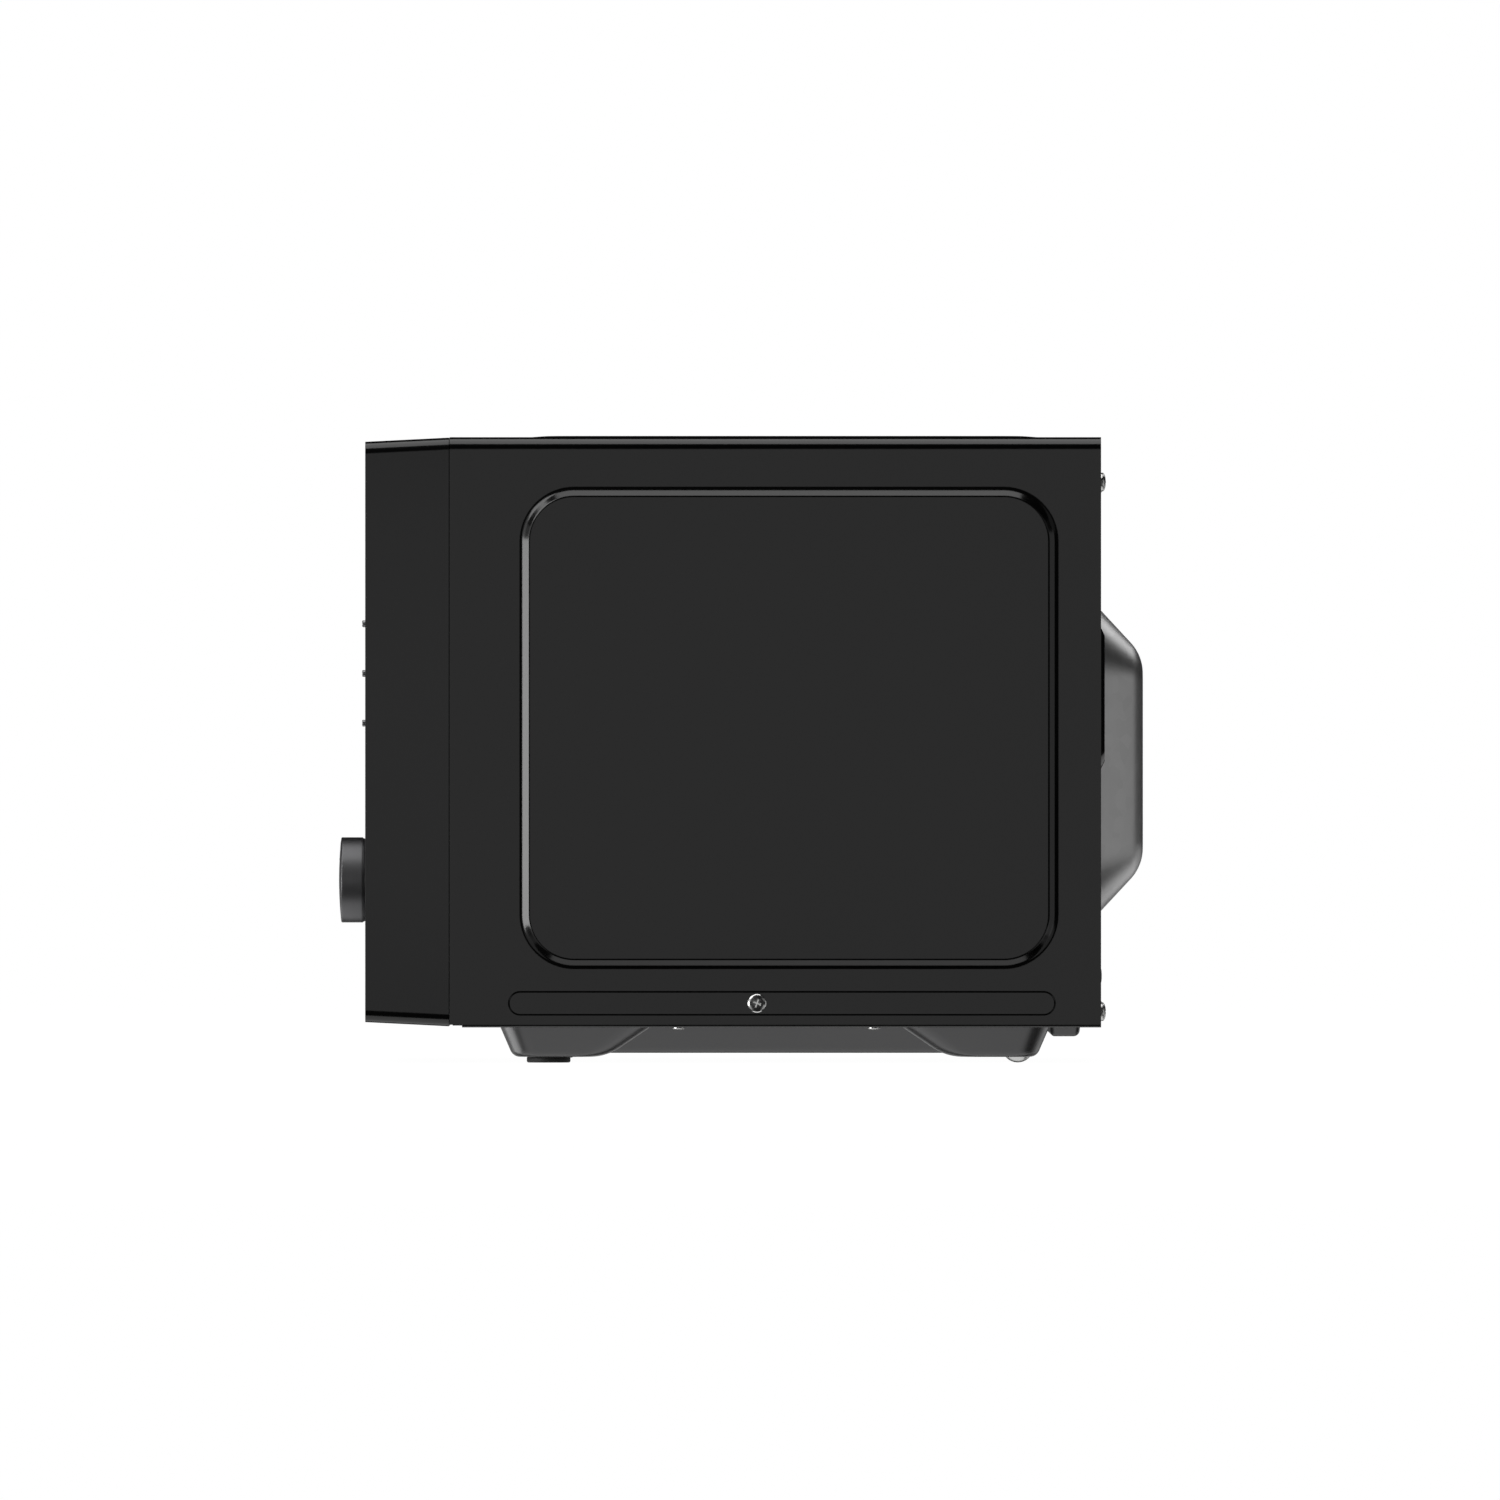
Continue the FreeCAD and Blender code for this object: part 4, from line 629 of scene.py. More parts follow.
def makeBase():
    b = base
    skin = Skin()
    holes = []
    for name, (rect, depth, corner, sides) in presses.items():
        rows = []
        for share in pressShares:
            ins = [slopeInset(share * depth, depth, w, r) for w, r in sides]
            inner = (rect[0] + ins[0], rect[1] - ins[1], rect[2] + ins[2], rect[3] - ins[3])
            shrink = max(corner - 0.3 * min(ins), 1.0)
            rows.append([(u, v, b["under"] - share * depth) for u, v in roundedLoop(inner, shrink, 0.0, 10)])
        skin.strips(rows)
        guard = roundedLoop(grown(inner, 0.6), max(shrink - 0.6, 0.5), 0.0, 10)
        skin.strip(rows[-1], [(u, v, b["under"] - depth) for u, v in guard])
        slots = []
        if name == "middleDish":
            d = drain
            for i in range(d["columns"]):
                for j in range(d["rows"]):
                    x = (i - (d["columns"] - 1) / 2) * d["pitch"]
                    y = d["start"] + (d["length"] + d["gap"]) * j
                    slots.append(roundedLoop((x - d["width"] / 2, x + d["width"] / 2, y, y + d["length"]),
                                             d["width"] / 2 - 0.05, 0.0, 4))
        skin.flat([guard] + slots, lambda u, v: (u, v, b["under"] - depth))
        holes.append([p[:2] for p in rows[0]])
    skin.flat([corners(-b["x"], b["x"], b["front"], b["back"])] + holes, lambda u, v: (u, v, b["under"]))
    levels = (b["under"], b["under"] + b["flange"])
    for x in (-b["x"], b["x"]):
        skin.strips([[(x, y, level) for y in (b["front"], b["back"])] for level in levels], closed=False)
    piece = skin.build("pressedBase", "bare_steel", (0, 0, 400), b["wall"], 40.0)
    mounted(piece, "oven", "bare_steel", "base_plate")


makeBase()
print("base pressed")

# Moulded and folded parts keep the frame's shapes, with softened edges
moulded = {  # node: name, slot, body, edge width, steps across the edge
    "front_bezel": ("frontSurround", "black_plastic", "oven", 0.7, 3),
    "door_frame": ("doorSurround", "black_plastic", "door", 0.8, 3),
    "control_fascia": ("controlPanel", "gloss_black", "oven", 0.3, 2),
    "door_pull_cup": ("pullCup", "black_plastic", "door", 0.3, 2),
    "crumb_tray": ("crumbTray", "cavity_steel", "crumb_tray_slide", 0.25, 2),
    "display_lens": ("displayWindow", "tinted_glass", "oven", 0.25, 2),
    "key_bar_1": ("keyBar1", "key_metal", "key_1", 0.0, 2),
    "key_bar_2": ("keyBar2", "key_metal", "key_2", 0.0, 2),
    "key_bar_3": ("keyBar3", "key_metal", "key_3", 0.0, 2),
}
trayFront = -179.3
for node, settings in moulded.items():
    piece = softened(node, *settings)
    if node == "crumb_tray":
        # Its front is a black plastic grip
        piece.data.materials.append(finishes["black_plastic"])
        for face in piece.data.polygons:
            if face.center.y < trayFront * mm:
                face.material_index = 1
print("moulded parts softened")


knob = {"centre": (179.0, -181.35, 87.8), "radius": 20.5, "depth": 12.7, "edge": 0.55, "dome": 1.1,
        "root": ((1.2, 0.0), (0.7, 0.15), (0.5, 0.5), (0.45, 0.9), (0.1, 1.15), (0.0, 1.5), (0.0, 2.2)),
        "face": (0.93, 0.85, 0.7, 0.5, 0.3, 0.12, 0.0), "edgeSteps": 6,
        "pointer": (9.5, 18.5, 1.2), "pointerSunk": 0.3, "pointerProud": 0.08}


def domeDrop(share):
    # How far the knob's crowned face has fallen back at a share of its radius
    return knob["dome"] * share * share


def makeKnob():
    k = knob
    r, d, e = k["radius"], k["depth"], k["edge"]
    low = d - domeDrop(1.0)
    profile = [(0.0, 0.0)] + [(r - inset, height) for inset, height in k["root"]]
    profile += [(r, low * 0.6), (r, low - e - 0.6)]
    for i in range(k["edgeSteps"] + 1):
        a = math.pi / 2 * i / k["edgeSteps"]
        profile.append((r - e + e * math.cos(a), low - e + e * math.sin(a)))
    profile += [(r * share, d - domeDrop(share)) for share in k["face"]]
    piece = turned("timerKnob", "knob_metal", profile, [k["centre"]], (0, -1, 0), 96)
    mounted(piece, "knob_turn", "knob_metal", "knob")


def makePointer():
    k = knob
    inner, outer, width = k["pointer"]
    x, y, z = k["centre"]
    skin = Skin()
    ends = roundedLoop((x - width / 2, x + width / 2, z + inner, z + outer), width / 2 - 0.01, 0.0, 6)

    def level(u, v, lift):
        share = math.hypot(u - x, v - z) / k["radius"]
        return (u, max(y - k["depth"], y - k["depth"] + domeDrop(share) - lift), v)

    skin.slab([ends], (-k["pointerSunk"], k["pointerProud"]), level)
    mounted(skin.build("knobPointer", "white_print"), "knob_turn", "ceramic")


makeKnob()
makePointer()

feet = {"x": 192.0, "y": -93.15, "radius": 10.5, "height": 2.75}


def makeFeet():
    f = feet
    r, h = f["radius"], f["height"]
    profile = [(0.0, 0.5), (r * 0.45, 0.5), (r * 0.5, 0.0), (r - 0.8, 0.0), (r - 0.25, 0.2), (r, 0.7),
               (r, h - 0.6), (r - 0.2, h - 0.1), (r - 0.5, h), (0.0, h)]
    places = [(x, f["y"], 0.0) for x in (-f["x"], f["x"])]
    piece = turned("rubberFeet", "foot_rubber", profile, places, (0, 0, 1), 48)
    mounted(piece, "oven", "foot_rubber", "front_feet")


makeFeet()
print("knob and feet turned")


class Recipe(Graph):
    # A Geometry Nodes tree with named inputs, run once and turned into plain mesh
    def __init__(self, name, inputs):
        super().__init__(bpy.data.node_groups.new(name, "GeometryNodeTree"))
        face = self.tree.interface
        face.new_socket("Geometry", in_out="INPUT", socket_type="NodeSocketGeometry")
        for label, kind in inputs.items():
            face.new_socket(label, in_out="INPUT", socket_type="NodeSocket" + kind)
        face.new_socket("Geometry", in_out="OUTPUT", socket_type="NodeSocketGeometry")
        self.given = self.add("NodeGroupInput")

    def take(self, label):
        return self.given.other(label)

    def onPoints(self, points, shape, turn=(0.0, 0.0, 0.0), size=(1.0, 1.0, 1.0)):
        return self.add("GeometryNodeInstanceOnPoints", {}, {
            "Points": points, "Instance": shape, "Rotation": turn, "Scale": size})

    def end(self, geometry, material):
        solid = self.add("GeometryNodeRealizeInstances", {}, {"Geometry": geometry})
        done = self.add("GeometryNodeSetMaterial", {}, {"Geometry": solid, "Material": material})
        self.add("NodeGroupOutput", {}, {"Geometry": done})

    def run(self, name, values, points=(), facings=()):
        mesh = bpy.data.meshes.new(name)
        mesh.from_pydata([Vector(p) * mm for p in points], [], [])
        if facings:
            facing = mesh.attributes.new("facing", "FLOAT_VECTOR", "POINT")
            facing.data.foreach_set("vector", [c for f in facings for c in f])
        piece = placed(name, mesh)
        modifier = piece.modifiers.new(name, "NODES")
        modifier.node_group = self.tree
        for item in self.tree.interface.items_tree:
            if item.in_out == "INPUT" and item.name in values:
                modifier[item.identifier] = values[item.name]
        settled(piece)
        shaded(piece.data, 35.0)
        return piece


headShape = {"rings": (1.0, 0.97, 0.9, 0.78, 0.62), "tips": (0.62, 0.4, 0.2, 0.02), "sides": 28, "rim": 0.3,
             "arm": 0.46, "half": 0.10, "sunk": 0.72, "skirt": 0.4}


def screwHead(radius, height, recess):
    # Domed head on +Z with its seat at zero, with a cross recess unless it is a rivet
    h = headShape
    skin = Skin()

    def dome(p):
        share = min(1.0, math.hypot(*p) / radius)
        return (p[0], p[1], height * (h["rim"] + (1 - h["rim"]) * math.sqrt(1 - share * share * 0.98)))

    def ring(share):
        return circle(share * radius, h["sides"])

    def domed(shares):
        skin.strips([[dome(p) for p in ring(share)] for share in shares])

    domed(h["rings"])
    if recess:
        arm, half = radius * h["arm"], radius * h["half"]
        quarter = [(arm, half), (half, half), (half, arm)]
        cross = []
        for _ in range(4):
            cross += quarter
            quarter = [(-v, u) for u, v in quarter]
        skin.flat([ring(h["rings"][-1]), cross], lambda u, v: dome((u, v)))
        sunk = [(u * h["sunk"], v * h["sunk"]) for u, v in cross]
        skin.strip([dome(p) for p in cross], [(u, v, height - recess) for u, v in sunk])
        skin.flat([sunk], lambda u, v: (u, v, height - recess))
    else:
        domed(h["tips"])
        skin.flat([ring(h["tips"][-1])], lambda u, v: dome((u, v)))
    edge = ring(1.0)
    skin.strip([dome(p) for p in edge], [(u, v, -h["skirt"]) for u, v in edge])
    skin.flat([edge], lambda u, v: (u, v, -h["skirt"]))
    return skin.build("head", "screw_chrome")


def screwRecipe():
    tree = Recipe("screwSet", {"Head": "Object", "Size": "Float", "Seed": "Int", "Finish": "Material"})
    facing = tree.add("GeometryNodeInputNamedAttribute", {"data_type": "FLOAT_VECTOR"}, {"Name": "facing"})
    upright = tree.add("FunctionNodeAlignRotationToVector", {"axis": "Z"}, {"Vector": facing})
    spin = tree.add("FunctionNodeRandomValue", {"data_type": "FLOAT"},
                    {"Min": 0.0, "Max": 6.283, "Seed": tree.take("Seed")}, 1)
    turn = tree.add("FunctionNodeAxisAngleToRotation", {}, {"Axis": (0.0, 0.0, 1.0), "Angle": spin})
    facingTurn = tree.add("FunctionNodeRotateRotation", {"rotation_space": "LOCAL"},
                          {"Rotation": upright, "Rotate By": turn})
    head = tree.add("GeometryNodeObjectInfo", {}, {"Object": tree.take("Head")}, "Geometry")
    tree.end(tree.onPoints(tree.given, head, facingTurn, tree.take("Size")), tree.take("Finish"))
    return tree


screws = {  # name: node, body, slot, radius, height, recess, then each seat and the way it faces
    "sideScrews": ("side_screws", "oven", "screw_chrome", 4.5, 1.6, 0.9,
                   [((s * 237.55, 7.05, 28.7), (s, 0, 0)) for s in (-1, 1)]),
    "baseScrews": ("base_screws", "oven", "screw_zinc", 3.0, 1.1, 0.6,
                   [((s * 233.0, y, 17.1), (0, 0, -1)) for s in (-1, 1) for y in (-30.65, 63.15)]),
    "rearScrews": ("rear_screws", "oven", "screw_zinc", 4.5, 2.4, 1.2,
                   [((x, 172.25, z), (0, 1, 0)) for x in (-222.0, -170.0, 72.0, 222.0) for z in (24.6, 279.0)]),
    "coverScrews": ("cover_screws", "oven", "screw_zinc", 3.5, 1.7, 0.9,
                    [((x, 172.25, z), (0, 1, 0)) for x, z in ((-161.0, 145.1), (53.0, 145.1), (-104.0, 65.65),
                                                              (-104.0, 224.55), (-4.0, 65.65), (-4.0, 224.55))]),
    "snapRivets": ("snap_rivets", "oven", "white_nylon", 3.3, 0.54, 0.0,
                   [((x, 172.25, 41.8), (0, 1, 0)) for x in (-208.0, 208.0)]),
    "doorPanelScrews": ("door_panel_screws", "door", "screw_chrome", 3.2, 0.78, 0.4,
                        [((x, -155.05, z), (0, 1, 0)) for x in (-207.5, -54.0, 99.5) for z in (65.7, 255.0)]),
}
screwTree = screwRecipe()
for number, (name, (node, body, slotName, radius, height, recess, places)) in enumerate(screws.items()):
    head = screwHead(radius, height, recess)
    values = {"Head": head, "Size": 1.0, "Seed": 7 + number, "Finish": finishes[slotName]}
    piece = screwTree.run(name, values, [p for p, _ in places], [f for _, f in places])
    mounted(piece, body, slotName, node)
    bpy.data.objects.remove(head)
print("screws set:", len(screws))


rack = {"x": (-206.0, 98.0), "y": (-148.35, 102.65), "z": 124.1, "wire": 2.5, "cross": 1.6, "pitch": 19.5,
        "count": 15, "corner": 12.0, "braceGap": 100.4, "lift": 0.2}


def makeRack():
    r = rack
    tree = Recipe("rackWires", {
        "Count": "Int", "Pitch": "Float", "Wire Radius": "Float", "Loop Radius": "Float", "Length": "Float",
        "Width": "Float", "Corner": "Float", "Middle": "Vector", "Brace Gap": "Float", "Finish": "Material"})
    middle = tree.split(tree.take("Middle"))
    number = tree.add("GeometryNodeInputIndex")
    x, y, z = middle, middle.other("Y"), middle.other("Z")
    thin, thick, count = tree.take("Wire Radius"), tree.take("Loop Radius"), tree.take("Count")
    length, width = tree.take("Length"), tree.take("Width")
    along = x + (number - (count - 1) / 2) * tree.take("Pitch")
    spots = tree.add("GeometryNodePoints", {}, {
        "Count": count, "Position": tree.vector(along, y, z + thick - thin)})
    rod = tree.add("GeometryNodeMeshCylinder", {}, {"Vertices": 14, "Radius": thin, "Depth": length})
    wires = tree.onPoints(spots, rod, (math.pi / 2, 0.0, 0.0))
    across = y + (number - 0.5) * tree.take("Brace Gap")
    spots = tree.add("GeometryNodePoints", {}, {
        "Count": 2, "Position": tree.vector(x, across, z - thick + thin + r["lift"] * mm)})
    rod = tree.add("GeometryNodeMeshCylinder", {}, {"Vertices": 14, "Radius": thin, "Depth": width})
    braces = tree.onPoints(spots, rod, (0.0, math.pi / 2, 0.0))
    quad = tree.add("GeometryNodeCurvePrimitiveQuadrilateral", {}, {"Width": width, "Height": length})
    rounded = tree.add("GeometryNodeFilletCurve", {"mode": "POLY"}, {
        "Curve": quad, "Radius": tree.take("Corner"), "Count": 10})
    outline = tree.add("GeometryNodeCurvePrimitiveCircle", {}, {"Resolution": 16, "Radius": thick})
    loop = tree.add("GeometryNodeCurveToMesh", {}, {"Curve": rounded, "Profile Curve": outline})
    moved = tree.add("GeometryNodeTransform", {}, {"Geometry": loop, "Translation": tree.take("Middle")})
    joined = tree.add("GeometryNodeJoinGeometry", {}, {})
    for part in (moved, wires, braces):
        tree.tree.links.new(part.socket, joined.socket.node.inputs[0])
    tree.end(joined, tree.take("Finish"))
    x0, x1 = r["x"]
    y0, y1 = r["y"]
    piece = tree.run("wireRack", {
        "Count": r["count"], "Pitch": r["pitch"] * mm, "Wire Radius": r["cross"] * mm,
        "Loop Radius": r["wire"] * mm, "Length": (y1 - y0) * mm, "Width": (x1 - x0) * mm,
        "Corner": r["corner"] * mm,
        "Middle": [(x0 + x1) / 2 * mm, (y0 + y1) / 2 * mm, r["z"] * mm],
        "Brace Gap": r["braceGap"] * mm, "Finish": finishes["rack_chrome"]})
    mounted(piece, "rack", "rack_chrome", "wire_rack")


pan = {"rect": (-190.0, 82.0, -140.35, 90.65), "low": 126.9, "depth": 16.8, "corner": 14.0, "draft": 3.0,
       "rim": 4.9, "wall": 0.9, "foot": 4.0, "lip": 1.4, "steps": 6}


def makePan():
    p = pan
    skin = Skin()
    top, low, foot = p["low"] + p["depth"], p["low"], p["foot"]
    rows = [(-p["rim"], top - p["lip"]), (-p["rim"], top - 0.5), (0.5 - p["rim"], top), (-0.8, top),
            (0.0, top - 0.4), (0.35, top - p["lip"]), (p["draft"] - 0.3, low + foot)]
    for i in range(1, p["steps"] + 1):
        a = math.pi / 2 * i / p["steps"]
        rows.append((p["draft"] + foot - foot * math.cos(a), low + foot - foot * math.sin(a)))
    rows.append((rows[-1][0] + 1.5, low))
    loops = [roundedLoop(grown(p["rect"], inset), p["corner"]) for inset, _ in rows]
    skin.strips([[(u, v, level) for u, v in loop] for loop, (_, level) in zip(loops, rows)])
    skin.flat([loops[-1]], lambda u, v: (u, v, low))
    mounted(skin.build("bakingPan", "enamel", (-54, -25, 300), p["wall"]), "rack", "enamel", "baking_pan")


heater = {"x": (-209.0, 101.0), "y": (-80.35, 48.75), "low": 54.0, "high": 262.0, "tube": 3.9, "wall": 0.9,
          "coil": 2.2, "wire": 0.3, "turns": 78, "cap": 12.0}


def makeHeaters():
    h = heater
    tree = Recipe("heaterCoils", {"Turns": "Float", "Coil Radius": "Float", "Wire": "Float", "Length": "Float",
                                  "Finish": "Material"})
    spiral = tree.add("GeometryNodeCurveSpiral", {}, {
        "Resolution": 12, "Rotations": tree.take("Turns"), "Start Radius": tree.take("Coil Radius"),
        "End Radius": tree.take("Coil Radius"), "Height": tree.take("Length")})
    outline = tree.add("GeometryNodeCurvePrimitiveCircle", {}, {"Resolution": 5, "Radius": tree.take("Wire")})
    wire = tree.add("GeometryNodeCurveToMesh", {}, {
        "Curve": spiral, "Profile Curve": outline, "Fill Caps": True})
    laid = tree.add("GeometryNodeTransform", {}, {"Geometry": wire, "Rotation": (0.0, math.pi / 2, 0.0)})
    tree.end(tree.onPoints(tree.given, laid), tree.take("Finish"))
    x0, x1 = h["x"]
    starts = [(x0 + h["cap"], y, z) for y in h["y"] for z in (h["low"], h["high"])]
    coil = tree.run("heaterCoils", {
        "Turns": float(h["turns"]), "Coil Radius": h["coil"] * mm, "Wire": h["wire"] * mm,
        "Length": (x1 - x0 - 2 * h["cap"]) * mm, "Finish": finishes["core_steel"]}, starts)
    mounted(coil, "oven", "core_steel")
    pairs = (("low", "lowerQuartzTubes", "lower_heaters"), ("high", "upperQuartzTubes", "upper_heaters"))
    for level, name, node in pairs:
        skin = Skin()
        for y in h["y"]:
            r, w = h["tube"], h["wall"]
            rows = [(x0, r - w), (x0, r), (x1, r), (x1, r - w), (x0, r - w)]
            skin.strips([[(x, y + u, h[level] + v) for u, v in circle(rad, 32)] for x, rad in rows])
        mounted(skin.build(name, "quartz"), "oven", "quartz", node)


makeRack()
makePan()
makeHeaters()
print("rack, pan and heaters in")


dial = {"centre": (179.0, -181.1, 87.8), "ticks": 31, "start": 225.0, "sweep": 270.0, "radius": 25.0,
        "long": 2.6, "wide": 0.45, "thick": 0.06}


def makeTicks():
    d = dial
    tree = Recipe("tickRing", {"Count": "Int", "Start": "Float", "Step": "Float", "Ring Radius": "Float",
                               "Middle": "Vector", "Tick": "Vector", "Finish": "Material"})
    middle = tree.split(tree.take("Middle"))
    turn = tree.take("Start") - tree.add("GeometryNodeInputIndex") * tree.take("Step")
    reach = tree.take("Ring Radius")
    place = tree.vector(middle + turn.cosine() * reach, middle.other("Y"),
                        middle.other("Z") + turn.sine() * reach)
    spots = tree.add("GeometryNodePoints", {}, {"Count": tree.take("Count"), "Position": place})
    bar = tree.add("GeometryNodeMeshCube", {}, {"Size": tree.take("Tick")})
    tree.end(tree.onPoints(spots, bar, tree.vector(0.0, 0.0 - turn, 0.0)), tree.take("Finish"))
    piece = tree.run("dialTicks", {
        "Count": d["ticks"], "Start": math.radians(d["start"]),
        "Step": math.radians(d["sweep"] / (d["ticks"] - 1)), "Ring Radius": d["radius"] * mm,
        "Middle": [c * mm for c in d["centre"]],
        "Tick": [d["long"] * mm, d["thick"] * mm, d["wide"] * mm], "Finish": finishes["white_print"]})
    mounted(piece, "oven", "ceramic")


readout = {"centre": (179.0, 252.0), "face": -181.07, "height": 17.0, "width": 9.0, "stroke": 1.7, "gap": 0.35,
           "pitch": 14.0, "colon": 6.0, "lean": 0.09, "thick": 0.05, "dot": 0.9, "dotRise": 0.42,
           "text": "1200"}
digitStrokes = {"0": "abcdef", "1": "bc", "2": "abged"}


def upright(u, v, level):
    return (u, level, v)


def drawStroke(skin, start, end):
    # A six-sided stroke between two points, slightly slanted
    r = readout
    start, end = Vector(start), Vector(end)
    half = (end - start).normalized() * r["stroke"] / 2
    side = Vector((-half.y, half.x))
    shape = [start, start + half - side, end - half - side, end, end - half + side, start + half + side]
    loop = [(p.x + (p.y - r["centre"][1]) * r["lean"], p.y) for p in shape]
    skin.slab([loop], (r["face"], r["face"] + r["thick"]), upright)


def makeReadout():
    r = readout
    skin = Skin()
    cx, cz = r["centre"]
    h, w, g = r["height"] / 2, r["width"], r["gap"]
    start = cx - (r["pitch"] * 3 + r["colon"] + 2 * w - r["stroke"]) / 2  # the 1 fills only half its cell
    for i, digit in enumerate(r["text"]):
        u = start + i * r["pitch"] + (r["colon"] if i > 1 else 0.0)
        lines = {key: ((u + g, level), (u + w - g, level)) for key, level in zip("agd", (cz + h, cz, cz - h))}
        for key, x, foot in (("b", u + w, cz), ("c", u + w, cz - h), ("f", u, cz), ("e", u, cz - h)):
            lines[key] = ((x, foot + g), (x, foot + h - g))
        for key in digitStrokes[digit]:
            drawStroke(skin, *lines[key])
    colon = start + 2 * r["pitch"] - (r["pitch"] - w - r["colon"]) / 2 - 0.2
    for v in (cz - h * r["dotRise"], cz + h * r["dotRise"]):
        drawStroke(skin, (colon - r["dot"], v), (colon + r["dot"], v))
    mounted(skin.build("clockDigits", "lit_print"), "oven", "ceramic")


icons = {"x": 141.5, "face": -181.1, "rows": (211.0, 187.1, 163.2), "size": 2.3, "stroke": 0.45, "thick": 0.06,
         "rays": 8, "discSides": 28}


def makeIcons():
    # Plain marks beside the keys: start, stop and light
    k = icons
    skin = Skin()
    s, t = k["size"], k["stroke"]
    top, middle, low = k["rows"]

    def solid(centre, loops):
        loops = [[(k["x"] + u, centre + v) for u, v in loop] for loop in loops]
        skin.slab(loops, (k["face"], k["face"] + k["thick"]), upright)

    def square(half):
        return corners(-half, half, -half, half)

    solid(top, [[(-s * 0.7, -s), (s, 0.0), (-s * 0.7, s)]])
    solid(middle, [square(s * 0.85), square((s - t * 1.3) * 0.85)])
    solid(low, [circle(s * 0.6, k["discSides"])])
    for c, n in circle(1.0, k["rays"]):
        ray = corners(s * 0.85, s * 1.3, -t / 2, t / 2)
        solid(low, [[(u * c - v * n, u * n + v * c) for u, v in ray]])
    mounted(skin.build("keyMarks", "white_print"), "oven", "ceramic")


makeTicks()
makeReadout()
makeIcons()
print("dial and display marked")


# The room is in metres; two of the floor's numbers set how dark and how wide the painted contact shadow round
# the oven is
studio = {"backdrop": 1.0, "dim": 0.004, "paintedShadowReach": 0.55, "floorPaintedShadow": 0.02, "floorLevel": -0.0002,
          "floorWide": 30.0}
cards = {  # name: place, size across and up, radiance, the point it faces
    "frontRightSoftbox": ((1.35, -2.05, -0.03), (1.35, 0.85), 6.6, (0.2, 0.0, 0.15)),
    "frontRightBlend": ((1.6, -2.0, 0.72), (1.35, 0.62), 0.9, (0.2, 0.0, 0.15)),
    "frontRightUpper": ((1.6, -1.5, 1.7), (1.3, 1.3), 3.6, (0.2, 0.0, 0.2)),
    "topSoftbox": ((0.46, 0.0, 2.3), (1.78, 2.3), 2.1, (0.2, 0.0, 0.15)),
    "bottomCard": ((0.0, 0.0, -2.2), (3.6, 2.6), 0.93, (0.0, 0.0, 0.15)),
    "lowFrontSoftbox": ((-0.7, -1.9, -1.7), (1.8, 1.0), 3.0, (0.1, 0.0, 0.05)),
    "sideCard": ((7.6, 0.0, 0.15), (2.2, 2.2), 0.61, (0.0, 0.0, 0.15)),
    "rearCard": ((0.4, 2.8, -0.15), (2.8, 1.9), 0.47, (0.0, 0.0, 0.15)),
    "rearTopSoftbox": ((-1.6, 1.7, 1.6), (1.1, 1.1), 1.7, (0.0, 0.1, 0.2)),
    "rearLowCard": ((-1.6, 1.7, -1.3), (1.4, 1.4), 0.5, (0.0, 0.1, 0.1)),
    "frontCard": ((-0.35, -4.0, -0.4), (1.9, 2.6), 0.55, (0.0, 0.0, 0.15)),
    "leftCard": ((-4.0, -0.2, -0.75), (2.4, 1.9), 0.5, (0.0, 0.0, 0.15)),
    "rearRightFill": ((2.8, 2.8, -1.5), (3.0, 1.9), 0.36, (0.0, 0.0, 0.15)),
    "frontRightFill": ((2.8, -2.8, -1.5), (3.0, 1.9), 0.36, (0.0, 0.0, 0.15)),
    "rearLeftFill": ((-2.8, 2.8, -1.2), (3.0, 2.2), 0.42, (0.0, 0.0, 0.15)),
    "frontLeftFill": ((-2.8, -2.8, -1.2), (3.0, 2.2), 0.42, (0.0, 0.0, 0.15)),
    "frontLeftSheen": ((-2.8, -2.8, 1.35), (3.0, 1.2), 0.16, (0.0, 0.0, 0.3)),
    "frontRightSheen": ((2.8, -2.8, 1.35), (3.0, 1.2), 0.16, (0.0, 0.0, 0.3)),
    "rearRightSheen": ((2.8, 2.8, 1.35), (3.0, 1.2), 0.16, (0.0, 0.0, 0.3)),
}
view = {"lens": 1200.0, "sensor": 36.0, "reach": 100.0, "place": (24.24, 0.0037, 0.1503), "turn": (90, 0, 90)}


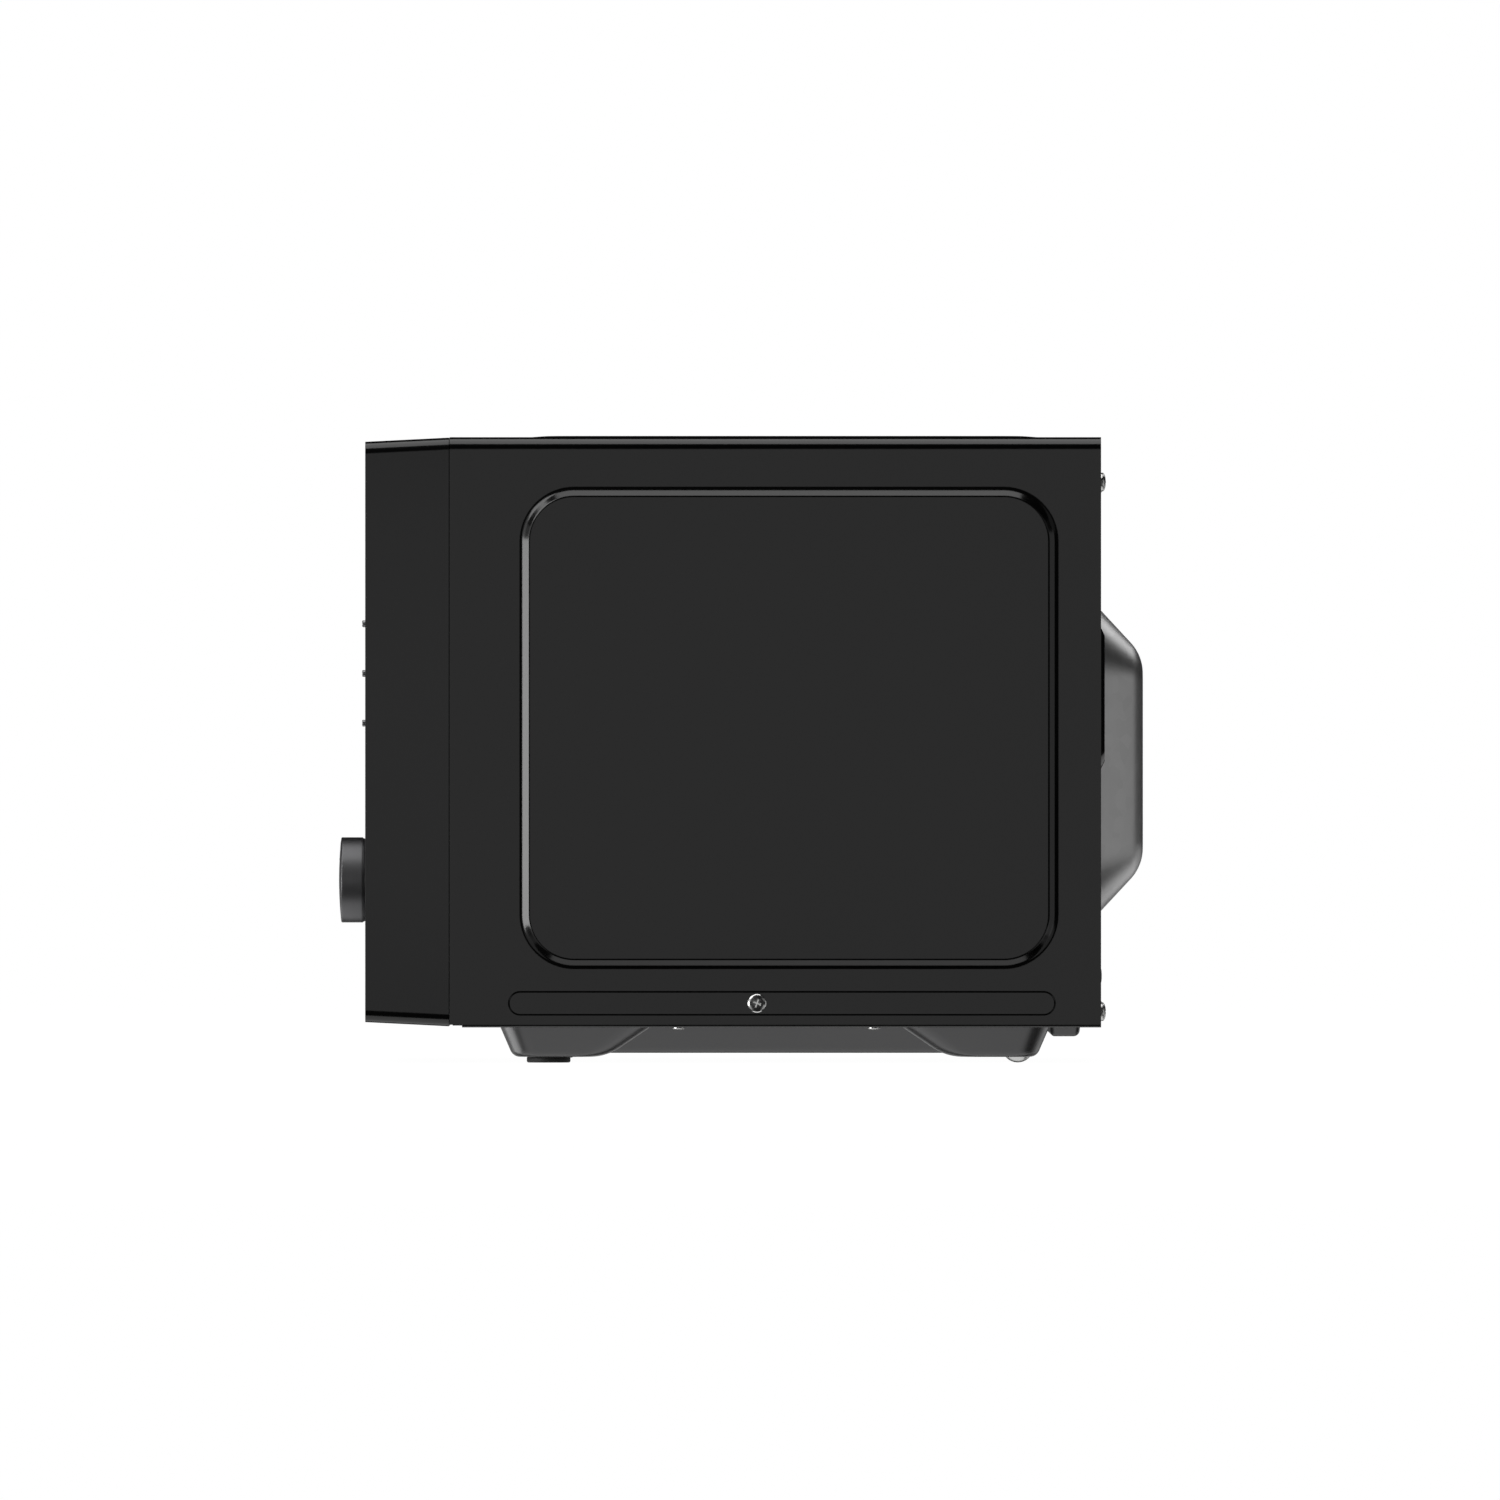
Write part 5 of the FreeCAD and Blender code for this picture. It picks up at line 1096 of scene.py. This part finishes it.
def makeWorld():
    world = bpy.data.worlds.new("paleRoom")
    world.use_nodes = True
    bpy.context.scene.world = world
    room = Graph(world.node_tree)
    world.node_tree.nodes.clear()
    seen = room.add("ShaderNodeLightPath", out="Is Camera Ray")
    strength = studio["dim"] + seen * (studio["backdrop"] - studio["dim"])
    back = room.add("ShaderNodeBackground", {}, {"Color": grey(1.0), "Strength": strength})
    room.add("ShaderNodeOutputWorld", {}, {"Surface": back})


def makeFloor():
    # The floor glows evenly, but a little less near the oven's middle: that dip is a painted contact shadow, not
    # a cast one
    coat = Coating("paleFloor")
    far = coat.add("ShaderNodeVectorMath", {"operation": "LENGTH"}, {0: coat.here}, "Value")
    # Painted shadow share: full right under the oven, gone at the reach
    paintedShadowShare = (1.0 - far / studio["paintedShadowReach"]).atLeast(0.0)
    glowWithPaintedShadow = 1.0 - paintedShadowShare * studio["floorPaintedShadow"]
    material = coat.surface({
        "Base Color": grey(0.06), "Roughness": 1.0, "Specular IOR Level": 0.0,
        "Emission Color": glowWithPaintedShadow, "Emission Strength": 1.0})
    mesh = bpy.data.meshes.new("studioFloor")
    wide = studio["floorWide"]
    spots = corners(-wide, wide, -wide, wide)
    mesh.from_pydata([(x, y, studio["floorLevel"]) for x, y in spots], [], [(0, 1, 2, 3)])
    mesh.materials.append(material)
    floor = placed("studioFloor", mesh)
    floor.visible_glossy = floor.visible_diffuse = floor.visible_shadow = floor.visible_transmission = False


def makeLights():
    for name, (place, size, radiance, aim) in cards.items():
        lamp = bpy.data.lights.new(name, "AREA")
        lamp.shape = "RECTANGLE"
        lamp.size, lamp.size_y = size
        lamp.energy = radiance * math.pi * size[0] * size[1]
        holder = placed(name, lamp)
        holder.location = place
        holder.rotation_euler = (Vector(aim) - Vector(place)).to_track_quat("-Z", "Y").to_euler()
        holder.visible_camera = False


def makeCamera():
    data = bpy.data.cameras.new("sideCamera")
    data.lens = view["lens"]
    data.sensor_width = view["sensor"]
    data.clip_end = view["reach"]
    camera = placed("sideCamera", data)
    camera.location = view["place"]
    camera.rotation_euler = [math.radians(a) for a in view["turn"]]
    bpy.context.scene.camera = camera


makeWorld()
makeFloor()
makeLights()
makeCamera()
bpy.context.scene.view_settings.view_transform = "Standard"
print("studio lit")
